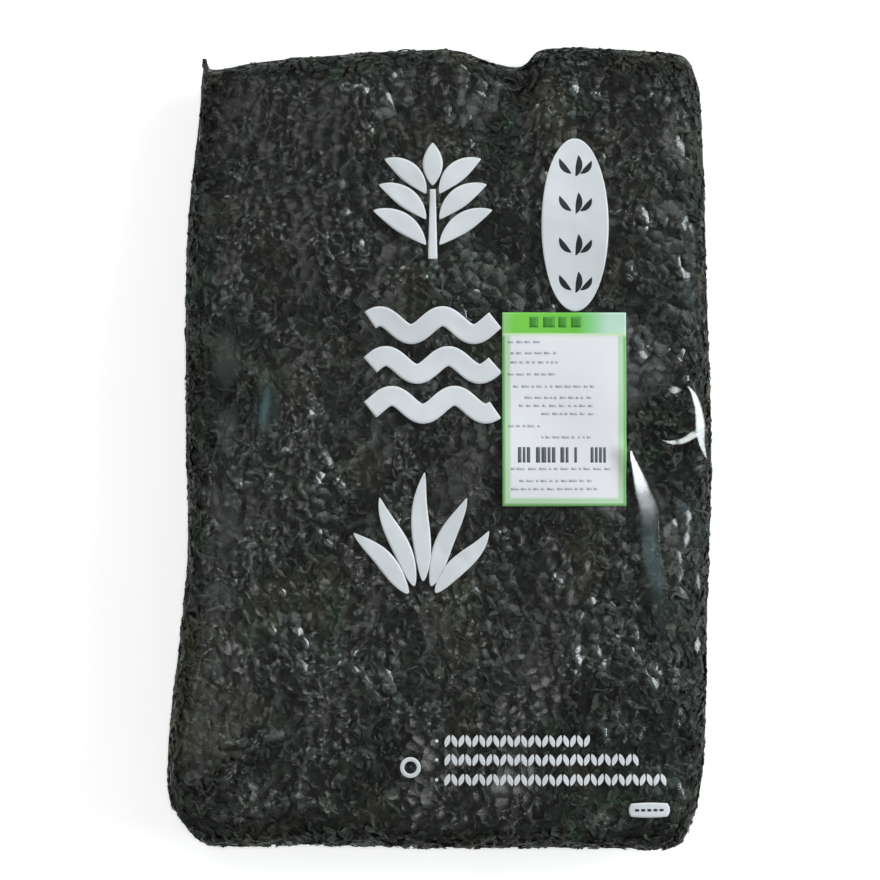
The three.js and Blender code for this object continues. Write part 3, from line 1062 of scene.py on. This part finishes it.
# %% Where shreds may start
CELL_LEAST = 0.5
FRONT_WEIGHT = 1.7  # how much closer together the shreds lie on the front than on the back
CORNER_CLEAR = 45.0  # way from each corner where no shred starts
RIM_CLEAR = 3.5  # and from the rim


def cell_sizes():
    """Area of each cell of both grids, and its width and height, or the least ones where it is narrower."""
    across = np.linalg.norm(film[:, :-1, 1:] - film[:, :-1, :-1], axis=-1)
    along = np.linalg.norm(film[:, 1:, :-1] - film[:, :-1, :-1], axis=-1)
    return across * along, np.maximum(across, CELL_LEAST), np.maximum(along, CELL_LEAST)


cell_area, cell_across, cell_along = cell_sizes()
clear = (inset > RIM_CLEAR) & (from_corner > CORNER_CLEAR)
cell_weight = (cell_area * clear[:-1, :-1] * np.array([FRONT_WEIGHT, 1.0])[:, None, None]).ravel()
print(f"shreds may start on {np.count_nonzero(cell_weight)} of {cell_weight.size} cells")

# %% Shape of a shred
RIM_SINK = 1.8  # how far a shred sinks where it comes to the rim, so that the outline stays smooth
RIM_SMOOTH = (1.0, 6.0)  # ways from the rim between which it rises again
ROLL = 0.35  # spread of the angles by which shreds lie over to one side
TWIST = 0.8  # and of those by which they turn along their length
SWAY_TURNS = (0.5, 1.1)  # least and greatest number of sideways waves
TORN = (0.5, 1.0)  # shares of the width that a torn edge leaves
TIP_TAPER = 0.4  # share of it that is lost at both tips
KEEL = 0.7  # greatest height of the crease, as a share of half the width
LIE_LEAST = 0.1  # least depth under the film
LIE_WAVE = (0.25, 1.3)  # height and number of the waves up and down
TONE_SPREAD = (1.4, 1.8)  # powers of the beta spread of tones, more of them dark
SHADED_GAP_TONE = 0.08  # share of the tone that the painted shade leaves in the gaps between clumps


def shreds(count, seed, steps, wave, lengths, widths, thicknesses, depths):
    """Points and faces of closed, wavy, twisted and torn shreds. Each starts from a random cell, more often
    from a large one, and runs over the grid in a random heading with a sideways wave. Its cross section is
    a thin chevron, creased along the shred's own line, that rolls about it."""
    rng = np.random.default_rng(seed)
    cell = np.searchsorted(np.cumsum(cell_weight) / cell_weight.sum(), rng.uniform(size=count))
    side, row, column = np.unravel_index(np.minimum(cell, cell_weight.size - 1), cell_area.shape)
    step_across = cell_across[side, row, column][:, None]
    step_along = cell_along[side, row, column][:, None]
    length, width, thick = (rng.uniform(*limits, (count, 1)) for limits in (lengths, widths, thicknesses))
    heading = rng.uniform(0, 2 * np.pi, (count, 1))
    t = np.linspace(-0.5, 0.5, steps + 1)[None]
    turns, starts, rises = (rng.uniform(*limits, (count, 1)) for limits in (SWAY_TURNS, (0, 1), (0, 1)))
    sway = wave * length * np.sin(2 * np.pi * (turns * t + starts))
    columns = column[:, None] + (length * t * np.cos(heading) - sway * np.sin(heading)) / step_across
    rows = row[:, None] + (length * t * np.sin(heading) + sway * np.cos(heading)) / step_along
    sides = np.broadcast_to(side[:, None], rows.shape)
    over = between(film, sides, columns, rows)
    up = between(film_normals, sides, columns, rows)
    up /= np.linalg.norm(up, axis=-1, keepdims=True)
    roll = rng.normal(0, ROLL, (count, 1)) + rng.normal(0, TWIST, (count, 1)) * t
    taper = rng.uniform(*TORN, (count, steps + 1)) * (1 - TIP_TAPER * (2 * np.abs(t)) ** 2)
    half_width = 0.5 * width * taper
    keel = rng.uniform(-KEEL, KEEL, (count, 1)) * half_width
    lie = rng.uniform(*depths, (count, 1)) + LIE_WAVE[0] * np.sin(2 * np.pi * (LIE_WAVE[1] * t + rises))
    lie = np.maximum(lie, LIE_LEAST) + 0.5 * thick
    lie += half_width * np.abs(np.sin(roll)) + np.maximum(keel, 0)
    to_rim = np.minimum(np.minimum(columns, COLUMNS - columns), np.minimum(rows, ROWS - rows))
    lie += RIM_SINK * (1 - smoothstep(np.abs(to_rim) * cell_side, *RIM_SMOOTH))
    line = over - lie[..., None] * up
    forward = np.gradient(line, axis=1)
    forward /= np.maximum(np.linalg.norm(forward, axis=-1, keepdims=True), TINY)
    flat = np.cross(up, forward)
    flat /= np.maximum(np.linalg.norm(flat, axis=-1, keepdims=True), TINY)
    lean = np.cos(roll)[..., None] * flat + np.sin(roll)[..., None] * up
    face = np.cross(forward, lean)
    wide = half_width[..., None] * lean
    tall = (0.5 * thick * taper)[..., None] * face
    crease = line + keel[..., None] * face
    points = np.stack([line + wide, crease + tall, line - wide, crease - tall], axis=2)
    number = np.arange(points[..., 0].size).reshape(points.shape[:3])
    ahead = np.roll(number, -1, axis=2)
    walls = np.stack([number[:, :-1], ahead[:, :-1], ahead[:, 1:], number[:, 1:]], axis=-1)
    caps = np.vstack([number[:, 0, ::-1], number[:, -1]])
    # each shred's tone is random, times painted shade in the gaps between clumps, at the rim and towards the
    # top end
    tone_and_shade = rng.beta(*TONE_SPREAD, count) * (SHADED_GAP_TONE + (1 - SHADED_GAP_TONE) * painted_gap_shade(points.mean(axis=(1, 2))))
    tone_and_shade *= painted_shade[row, column]
    tone = np.repeat(tone_and_shade, points[0, ..., 0].size)
    return points.reshape(-1, 3), np.vstack([walls.reshape(-1, 4), caps]), tone


print(f"torn edges leave {TORN[0]:.0%} to {TORN[1]:.0%} of a shred's width")

# %% Four kinds of shreds
FLOOR_CLEARANCE = 0.05
# Name, count, seed, number of lengths between its cross sections, sideways wave as a share of its length,
# and the least and greatest length, width, thickness and depth under the film
SHRED_KINDS = [
    ("laver_flakes", 4600, 61, 4, 0.15, (5.0, 10.0), (3.2, 6.4), (0.15, 0.3), (0.9, 2.0)),
    ("laver_shreds", 5200, 67, 4, 0.18, (4.5, 8.5), (2.2, 4.4), (0.15, 0.3), (0.5, 1.4)),
    ("laver_crumbs", 6600, 71, 3, 0.12, (2.2, 4.6), (1.6, 3.0), (0.15, 0.3), (0.2, 0.8)),
    ("laver_strands", 1000, 73, 5, 0.20, (4.0, 8.0), (1.0, 2.0), (0.25, 0.4), (0.1, 0.8)),
]

for name, *limits in SHRED_KINDS:
    points, faces, tone = shreds(*limits)
    points[:, 2] = np.maximum(points[:, 2], box_low[2] + FLOOR_CLEARANCE)
    make_piece(name, points, faces, torn_laver, {"tone": tone}, smooth=False)

# %% [markdown]
# ## Shapes printed on the film
#
# The front carries white print: three large motifs, an oval with dark strokes, three rows of small leaves, a
# ring and a bar. Printed ink lies on the film and follows each lump of it. It could be drawn in the film's
# own shader, but shapes of their own have clean edges at any size. Each is a grid of places on the flat
# drawing, laid onto the film as a closed sheet less than a tenth of a millimetre thick.

# %% Sheets on the film
TIP_CLEAR = 0.005  # share of a pointed shape's line that is left out at each tip, where it has no width
LEAF_FULLNESS = 0.8  # power of a leaf's swell: the lower, the fuller


def film_sheet(x, y, low, high):
    """Closed thin sheet over a grid of places, between two lifts off the film. A grid that runs clockwise, by
    the cross products of its cells' diagonals, is turned round first, so that the top faces out."""
    rising_x, rising_y = x[1:, 1:] - x[:-1, :-1], y[1:, 1:] - y[:-1, :-1]
    falling_x, falling_y = x[1:, :-1] - x[:-1, 1:], y[1:, :-1] - y[:-1, 1:]
    if (rising_x * falling_y - rising_y * falling_x).sum() < 0:
        x, y = x[::-1], y[::-1]
    return closed_sheet(on_film(x, y, high), on_film(x, y, low))


def print_piece(name, shapes, low, high, material):
    """One piece from the sheets of many shapes, smooth over their faces and sharp at their edges."""
    points, faces, smooth = joined([film_sheet(x, y, low, high) for x, y in shapes])
    return make_piece(name, points, faces, material, smooth=smooth)


def field(centre, half, roundness, step=0.8):
    """A filled shape between a rectangle, roundness 0, and an ellipse, roundness 1: over a and b from -1 to
    1, x is a * sqrt(1 - roundness * b^2 / 2), and y the same with a and b exchanged."""
    counts = [max(2, round(2 * size / step)) for size in half]
    a, b = np.meshgrid(*(np.linspace(-1, 1, count + 1) for count in counts))
    x = centre[0] + half[0] * a * np.sqrt(1 - roundness * b * b / 2)
    y = centre[1] + half[1] * b * np.sqrt(1 - roundness * a * a / 2)
    return x, y


def band(line, half_width, across=8):
    """A band along a line of points: each point moved to both sides by shares of the half width there."""
    ahead = np.gradient(line, axis=0)
    ahead /= np.linalg.norm(ahead, axis=1, keepdims=True)
    sideways = np.stack([-ahead[:, 1], ahead[:, 0]], axis=-1)
    share = np.linspace(-1, 1, across + 1)[:, None, None]
    places = line + share * (half_width[:, None] * sideways)
    return places[..., 0], places[..., 1]


def leaf(root, tip, bow, half_width, steps=30):
    """A pointed leaf from root to tip: a line bowed sideways by bow * 4 t (1 - t), with a half width that
    swells and falls as sin(pi t) ^ fullness."""
    t = np.linspace(TIP_CLEAR, 1 - TIP_CLEAR, steps)
    root, tip = np.array(root, float), np.array(tip, float)
    side = np.array([root[1] - tip[1], tip[0] - root[0]]) / np.linalg.norm(tip - root)
    line = root + t[:, None] * (tip - root) + (bow * 4 * t * (1 - t))[:, None] * side
    return band(line, half_width * np.sin(np.pi * t) ** LEAF_FULLNESS)


print("points of a leaf, across and along it:", leaf((0, 0), (0, 10), bow=0.0, half_width=2.0)[0].shape)

# %% White motifs
SPRIG_FOOT = (-2.5, 67.6)
SPRIG_HEIGHT = 42.0
SPRIG_LEAVES = (0.12, 0.34, 0.56)  # shares of the height where its pairs of leaves are
LEAF_REACH = 22.55  # how far a leaf at the foot reaches to the side
REACH_LOSS = 9.225  # and how much less one at the top does
LEAF_RISE = 0.3  # share of the height that a leaf rises
LEAF_BOW = 2.0
LEAF_GAP = 0.7
TOP_LEAF = 0.63  # share of the height where the top leaf starts
STEM_SHARE = 0.6  # and where the stem ends
STEM_HALF = 1.7
STEM_TAPER = 0.6  # share of its width that the stem has at its end
STEM_STEPS = 40
WAVES_CENTRE = (-2.5, 29.5)
WAVES_SIZE = (45.0, 43.0)
WAVE_RISE = 3.2
WAVE_LENGTH = 22.5
WAVE_SHIFT = 0.6  # of each wave against the one below it, in radians
WAVE_STEPS = 70
BLADES_FOOT = (-6.2, -58.0)
BLADES_HEIGHT = 49.0
BLADES_START = 0.2  # share of a blade's way from the foot where it begins
BLADE_LEANS = (-40, -20, 0, 20, 40)  # degrees
BLADE_SWAY = 1.4
BLADE_TURNS = 1.1  # sideways waves along a blade
BLADE_HALF = 0.46  # half its width, as a share of the stroke
BLADE_SKEW = 0.85  # power that moves its widest place towards the foot
BLADE_FULLNESS = 0.75
BLADE_STEPS = 60
LEAN_LIMIT = 160  # degrees of lean at which a blade would have no length
STROKE = 7.2


def sprig():
    """An upright stem with three pairs of leaves and one at its top, none of which touch."""
    x, y = SPRIG_FOOT
    heights = np.linspace(0, STEM_SHARE * SPRIG_HEIGHT, STEM_STEPS)
    line = np.stack([np.full(STEM_STEPS, x), y + heights], axis=-1)
    shapes = [band(line, np.linspace(1, STEM_TAPER, STEM_STEPS) * STEM_HALF, across=4)]
    for share in SPRIG_LEAVES:
        root_y = y + share * SPRIG_HEIGHT
        reach = LEAF_REACH - REACH_LOSS * share
        for side in (-1, 1):
            root = x + side * (STEM_HALF + LEAF_GAP), root_y
            tip = x + side * reach, root_y + LEAF_RISE * SPRIG_HEIGHT
            shapes.append(leaf(root, tip, side * LEAF_BOW, 0.5 * STROKE))
    shapes.append(leaf((x, y + TOP_LEAF * SPRIG_HEIGHT), (x, y + SPRIG_HEIGHT), 0.0, 0.5 * STROKE))
    return shapes


def wave_bands():
    """Three bands along sine waves, one above the other, each shifted against the one below it."""
    x = np.linspace(-0.5, 0.5, WAVE_STEPS) * WAVES_SIZE[0]
    shapes = []
    for rise in (-1, 0, 1):
        y = WAVE_RISE * np.sin(2 * np.pi * x / WAVE_LENGTH + WAVE_SHIFT * rise)
        y += rise * (WAVES_SIZE[1] / 2 - STROKE)
        line = np.stack([WAVES_CENTRE[0] + x, WAVES_CENTRE[1] + y], axis=-1)
        shapes.append(band(line, np.full(len(x), STROKE / 2)))
    return shapes


def blades():
    """A fan of blades round one foot, which begin clear of each other. Each runs out along its lean, longest
    in the middle, with a sideways sine wave that grows on the way, and its half width swells and falls as
    sin(pi share ^ skew) ^ fullness."""
    share = np.linspace(TIP_CLEAR, 1 - TIP_CLEAR, BLADE_STEPS)
    t = BLADES_START + (1 - BLADES_START) * share
    shapes = []
    for lean in BLADE_LEANS:
        heading = np.array([np.sin(np.radians(lean)), np.cos(np.radians(lean))])
        side = np.array([heading[1], -heading[0]])
        length = BLADES_HEIGHT * (1 - abs(lean) / LEAN_LIMIT)
        sway = BLADE_SWAY * np.sin(2 * np.pi * BLADE_TURNS * t + lean) * t
        line = np.array(BLADES_FOOT) + length * t[:, None] * heading + sway[:, None] * side
        half_width = BLADE_HALF * STROKE * np.sin(np.pi * share**BLADE_SKEW) ** BLADE_FULLNESS
        shapes.append(band(line, half_width))
    return shapes


motifs = sprig() + wave_bands() + blades()
print(f"{len(motifs)} white shapes in three motifs")

# %% Oval, small leaves, ring and bar
OVAL_CENTRE = (48.7, 80.0)
OVAL_HALF = (12.1, 31.2)
ROW_START = 1.5
# Height of each row of small leaves, and where it ends
LEAF_ROWS = [(-105.3, 54.6), (-112.1, 72.5), (-119.3, 82.5)]
LEAF_HEIGHT = 4.4
LEAF_LEAN = 1.5  # how far each tip stands to the side of its root
LEAF_STEP = 2.5
LEAF_HALF = 0.95
DOT_BEFORE = 2.6  # how far before a row its dot is
DOT_HALF = (0.6, 0.6)
RING_CENTRE = (-10.5, -114.9)
RING_RADIUS = 3.0
RING_HALF = 0.75  # half the width of its line
RING_STEPS = 60
BAR_CENTRE = (75.2, -130.2)
BAR_HALF = (7.4, 2.7)
BAR_ROUNDNESS = 0.45


def leaf_rows():
    """Rows of small leaves that lean one way and the other in turn, each row after a small dot."""
    shapes = []
    for height, end in LEAF_ROWS:
        shapes.append(field((ROW_START - DOT_BEFORE, height), DOT_HALF, roundness=1.0, step=0.4))
        for number, x in enumerate(np.arange(ROW_START + LEAF_STEP / 2, end, LEAF_STEP)):
            lean = LEAF_LEAN / 2 * (-1) ** number
            root, tip = (x - lean, height - LEAF_HEIGHT / 2), (x + lean, height + LEAF_HEIGHT / 2)
            shapes.append(leaf(root, tip, bow=0.0, half_width=LEAF_HALF, steps=12))
    return shapes


angles = np.linspace(0, 2 * np.pi, RING_STEPS + 1)
ring = np.array(RING_CENTRE) + RING_RADIUS * np.stack([np.cos(angles), np.sin(angles)], axis=-1)
small_print = [*leaf_rows(), band(ring, np.full(len(ring), RING_HALF), across=3)]
small_print.append(field(OVAL_CENTRE, OVAL_HALF, roundness=1.0))
small_print.append(field(BAR_CENTRE, BAR_HALF, BAR_ROUNDNESS))
print(f"{len(small_print)} small white shapes")

# %% White ink
INK_LOW, INK_HIGH = 0.03, 0.09  # lifts of the ink's two faces off the film


def printing_ink(name, dark, light, mottle, detail, roughness):
    """Printing ink: an opaque, flat colour with a low gloss. Because ink is never laid on quite evenly, it
    goes from dark to light in faint spots, of the mottle's size in mm. On the white ink these spots are also
    partly painted shade of the wavy film beneath."""
    material, tree = new_material(name)
    place = add(tree, "ShaderNodeTexCoord").outputs["Object"]
    cover = add(tree, "ShaderNodeTexNoise", {"Scale": 1 / (mottle * MM), "Detail": detail}, {"Vector": place})
    shade = add(
        tree,
        "ShaderNodeMix",
        {6: linear(dark), 7: linear(light)},
        {0: cover.outputs["Fac"]},
        data_type="RGBA",
    )
    ink = add(tree, "ShaderNodeBsdfPrincipled", {"Roughness": roughness}, {"Base Color": shade.outputs[2]})
    add(tree, "ShaderNodeOutputMaterial", links={"Surface": ink.outputs[0]})
    return material


# its faint spots are partly uneven ink and partly painted shade of the wavy film beneath
white_ink = printing_ink(
    "white printing ink on film", "#e2e8ec", "#edf2f5", mottle=6.0, detail=4.0, roughness=0.35
)
print_piece("white_print", motifs + small_print, INK_LOW, INK_HIGH, white_ink)

# %% Dark strokes on the oval and the bar
MARK_LIFT = 0.05  # how far the dark ink stands off the white
INK_SINK = 0.02  # how far an ink is sunk into what it lies on, so that no gap shows
OVAL_ROWS = (21.0, 7.5, -7.5, -21.0)
# Root and tip, from the middle of a row, bow and half width of each stroke
OVAL_STROKES = [
    ((-1.2, -2.5), (-5.6, 3.0), 0.8, 1.1),
    ((0.2, -3.6), (1.2, 4.2), -0.8, 1.2),
    ((1.8, -2.5), (6.0, 2.2), -0.8, 1.0),
]
BAR_DASHES = np.linspace(-4.4, 4.4, 5)  # shifts from the bar's middle
BAR_DASH_HALF = (0.75, 0.45)
BAR_DASH_ROUNDNESS = 0.3

dark_marks = []
for rise in OVAL_ROWS:
    row_middle = np.array(OVAL_CENTRE) + (0, rise)
    for root, tip, bow, half_width in OVAL_STROKES:
        dark_marks.append(leaf(row_middle + root, row_middle + tip, bow, half_width, steps=14))
for shift in BAR_DASHES:
    centre = BAR_CENTRE[0] + shift, BAR_CENTRE[1]
    dark_marks.append(field(centre, BAR_DASH_HALF, BAR_DASH_ROUNDNESS, step=0.5))
dark_ink = printing_ink(
    "dark green printing ink", "#161d1f", "#2a3436", mottle=2.0, detail=3.0, roughness=0.4
)
print_piece("dark_print", dark_marks, INK_HIGH - INK_SINK, INK_HIGH + MARK_LIFT, dark_ink)

# %% [markdown]
# ## The label
#
# A rectangle of coated paper is stuck on the film, which lies smooth beneath it. The coating is pressed
# smooth, which gives an even white with a soft sheen. The print is a green band with darker blocks along the
# top, a pale green border with a darker line at its edge, rows of grey dashes, and a row of plain bars. The
# fields of colour are in the paper's shader, worked out from how far a place is from the label's edges, and
# the dashes, bars and blocks are thin sheets of ink.

# %% Fields of the label's print
BAND_HEIGHT = 7.4
BAND_SOFT = 0.15  # how far to each side an edge of the print is soft
STRIP_HEIGHT = 1.8  # pale strip under the band
BORDER = 2.9
BORDER_SOFT = 0.6
EDGE_LINE = 1.0
LINE_SOFT = 0.3
LINE_COVER = 0.75  # how far the edge line's ink covers the border

label_paper, tree = new_material("coated label paper")
place = add(tree, "ShaderNodeTexCoord").outputs["Object"]
label_middle = np.array(LABEL_CENTRE) + to_frame[:2]
band_foot = LABEL_SIZE[1] / 2 - BAND_HEIGHT
centred = add(
    tree,
    "ShaderNodeMapping",
    {"Location": (-label_middle[0], -label_middle[1], 0), "Scale": (1 / MM, 1 / MM, 1 / MM)},
    {"Vector": place},
)
parts = add(tree, "ShaderNodeSeparateXYZ", links={0: centred.outputs[0]})
away = add(tree, "ShaderNodeMath", links={0: parts.outputs["X"]}, operation="ABSOLUTE")
from_side = add(tree, "ShaderNodeMath", {0: LABEL_SIZE[0] / 2}, {1: away.outputs[0]}, operation="SUBTRACT")
from_foot = add(tree, "ShaderNodeMath", {0: LABEL_SIZE[1] / 2}, {1: parts.outputs["Y"]}, operation="ADD")
from_edge = add(
    tree, "ShaderNodeMath", links={0: from_side.outputs[0], 1: from_foot.outputs[0]}, operation="MINIMUM"
)
border = add(
    tree,
    "ShaderNodeMapRange",
    {"From Min": BORDER + BORDER_SOFT, "From Max": BORDER - BORDER_SOFT},
    {"Value": from_edge.outputs[0]},
    interpolation_type="SMOOTHSTEP",
)
line = add(
    tree,
    "ShaderNodeMapRange",
    {"From Min": EDGE_LINE + LINE_SOFT, "From Max": EDGE_LINE - LINE_SOFT, "To Max": LINE_COVER},
    {"Value": from_edge.outputs[0]},
    interpolation_type="SMOOTHSTEP",
)
top_band = add(
    tree,
    "ShaderNodeMapRange",
    {"From Min": band_foot - BAND_SOFT, "From Max": band_foot + BAND_SOFT},
    {"Value": parts.outputs["Y"]},
)
strip = add(
    tree,
    "ShaderNodeMapRange",
    {"From Min": band_foot - STRIP_HEIGHT, "From Max": band_foot},
    {"Value": parts.outputs["Y"]},
    interpolation_type="SMOOTHSTEP",
)
across = add(
    tree,
    "ShaderNodeMapRange",
    {"From Min": -LABEL_SIZE[0] / 2, "From Max": LABEL_SIZE[0] / 2},
    {"Value": parts.outputs["X"]},
)
print(f"label print with a band {BAND_HEIGHT} mm high and a border {BORDER} mm wide")

# %% Label paper
LABEL_LOW, LABEL_HIGH = 0.2, 0.45  # lifts of the paper's two faces off the film
FIBRE_SIZE = 0.5  # coarser than real fibres, which are too fine to show
FIBRE_HEIGHT = 0.02
# Share of the way across and colour of each stop of the band
BAND_GREENS = [(0.0, "#a0e08e"), (0.1, "#80d94e"), (0.6, "#74d248"), (0.72, "#94e298"), (0.85, "#cbf0da")]

greens = add(tree, "ShaderNodeValToRGB", links={0: across.outputs[0]})
for _ in BAND_GREENS[2:]:
    greens.color_ramp.elements.new(0.5)
for element, (position, colour) in zip(greens.color_ramp.elements, BAND_GREENS):
    element.position = position
    element.color = linear(colour)
fibres = add(tree, "ShaderNodeTexNoise", {"Scale": 1 / (FIBRE_SIZE * MM), "Detail": 3.0}, {"Vector": place})
paper = add(
    tree,
    "ShaderNodeMix",
    {6: linear("#f2f5fa"), 7: linear("#fafbfe")},
    {0: fibres.outputs["Fac"]},
    data_type="RGBA",
)
bordered = add(
    tree,
    "ShaderNodeMix",
    {7: linear("#c4e7c2")},
    {0: border.outputs[0], 6: paper.outputs[2]},
    data_type="RGBA",
)
edged = add(
    tree,
    "ShaderNodeMix",
    {7: linear("#67b64e")},
    {0: line.outputs[0], 6: bordered.outputs[2]},
    data_type="RGBA",
)
shaded = add(
    tree,
    "ShaderNodeMix",
    {7: linear("#d5f2c4")},
    {0: strip.outputs[0], 6: edged.outputs[2]},
    data_type="RGBA",
)
printed = add(
    tree,
    "ShaderNodeMix",
    links={0: top_band.outputs[0], 6: shaded.outputs[2], 7: greens.outputs["Color"]},
    data_type="RGBA",
)
grain = add(
    tree,
    "ShaderNodeBump",
    {"Distance": FIBRE_HEIGHT * MM, "Strength": 0.5},
    {"Height": fibres.outputs["Fac"]},
)
coated = add(
    tree,
    "ShaderNodeBsdfPrincipled",
    {"Roughness": 0.5},
    {"Base Color": printed.outputs[2], "Normal": grain.outputs[0]},
)
add(tree, "ShaderNodeOutputMaterial", links={"Surface": coated.outputs[0]})

label_field = field(LABEL_CENTRE, (LABEL_SIZE[0] / 2, LABEL_SIZE[1] / 2), roundness=0.0)
label = print_piece("label_sheet", [label_field], LABEL_LOW, LABEL_HIGH, label_paper)
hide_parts("label")

# %% Label print
LABEL_INK = 0.05  # how far the ink stands off the paper
LABEL_LEFT = LABEL_CENTRE[0] - LABEL_SIZE[0] / 2
LABEL_TOP = LABEL_CENTRE[1] + LABEL_SIZE[1] / 2
# Down from the label's top, and from where to where across it
DASH_ROWS = [
    (10.6, 2, 15), (14.6, 3, 20), (17.9, 3, 20), (22.2, 2, 19), (26.6, 4, 33), (30.6, 8, 33), (33.5, 6, 33),
    (36.4, 14, 33), (40.8, 2, 14), (44.8, 14, 33), (56.1, 3, 40), (60.4, 6, 32), (63.3, 3, 34),
]  # fmt: skip
DASH_HALF = 0.45  # half the height of a dash
DASH_LENGTHS = (0.8, 3.0)
DASH_GAPS = (0.5, 1.2)
DASH_LEAST = 0.5
PRINT_SEED = 89  # for the lengths of dashes and gaps and the widths of bars
BAR_TOP, BAR_FOOT = 48.4, 53.9
BAR_WIDTHS = (0.8, 1.8)
BAR_GAP = 0.5
BAR_GROUPS = [(5.5, 10.2), (12.0, 19.0), (20.8, 24.0), (25.8, 27.6), (31.6, 37.4)]
BLOCK_TOP, BLOCK_FOOT = 1.6, 5.4
BLOCKS = [(9.8, 12.9), (14.7, 18.9), (20.2, 23.1), (24.8, 28.4)]


def label_box(left, right, top, foot, step=1.0):
    """A rectangle of the label, given from its left and top edges."""
    centre = LABEL_LEFT + (left + right) / 2, LABEL_TOP - (top + foot) / 2
    return field(centre, ((right - left) / 2, (foot - top) / 2), roundness=0.0, step=step)


rng = np.random.default_rng(PRINT_SEED)
dashes = []
for down, start, end in DASH_ROWS:
    x = float(start)
    while x < end - DASH_LEAST:
        reach = min(x + rng.uniform(*DASH_LENGTHS), end)
        dashes.append(label_box(x, reach, down - DASH_HALF, down + DASH_HALF))
        x = reach + rng.uniform(*DASH_GAPS)
bars = []
for start, end in BAR_GROUPS:
    x = start
    while x < end - BAR_GAP:
        reach = min(x + rng.uniform(*BAR_WIDTHS), end)
        bars.append(label_box(x, reach, BAR_TOP, BAR_FOOT))
        x = reach + BAR_GAP
blocks = [label_box(start, end, BLOCK_TOP, BLOCK_FOOT) for start, end in BLOCKS]
LABEL_PRINT = [
    ("label_dashes", dashes, "grey printing ink on paper", "#bcc2ca", "#d0d5db"),
    ("label_bars", bars, "dark grey printing ink on paper", "#4b5158", "#6a7076"),
    ("label_blocks", blocks, "green printing ink on paper", "#3d8f2a", "#4fa236"),
]
for name, boxes, finish, dark, light in LABEL_PRINT:
    paper_ink = printing_ink(finish, dark, light, mottle=1.0, detail=3.0, roughness=0.5)
    print_piece(name, boxes, LABEL_HIGH - INK_SINK, LABEL_HIGH + LABEL_INK, paper_ink)
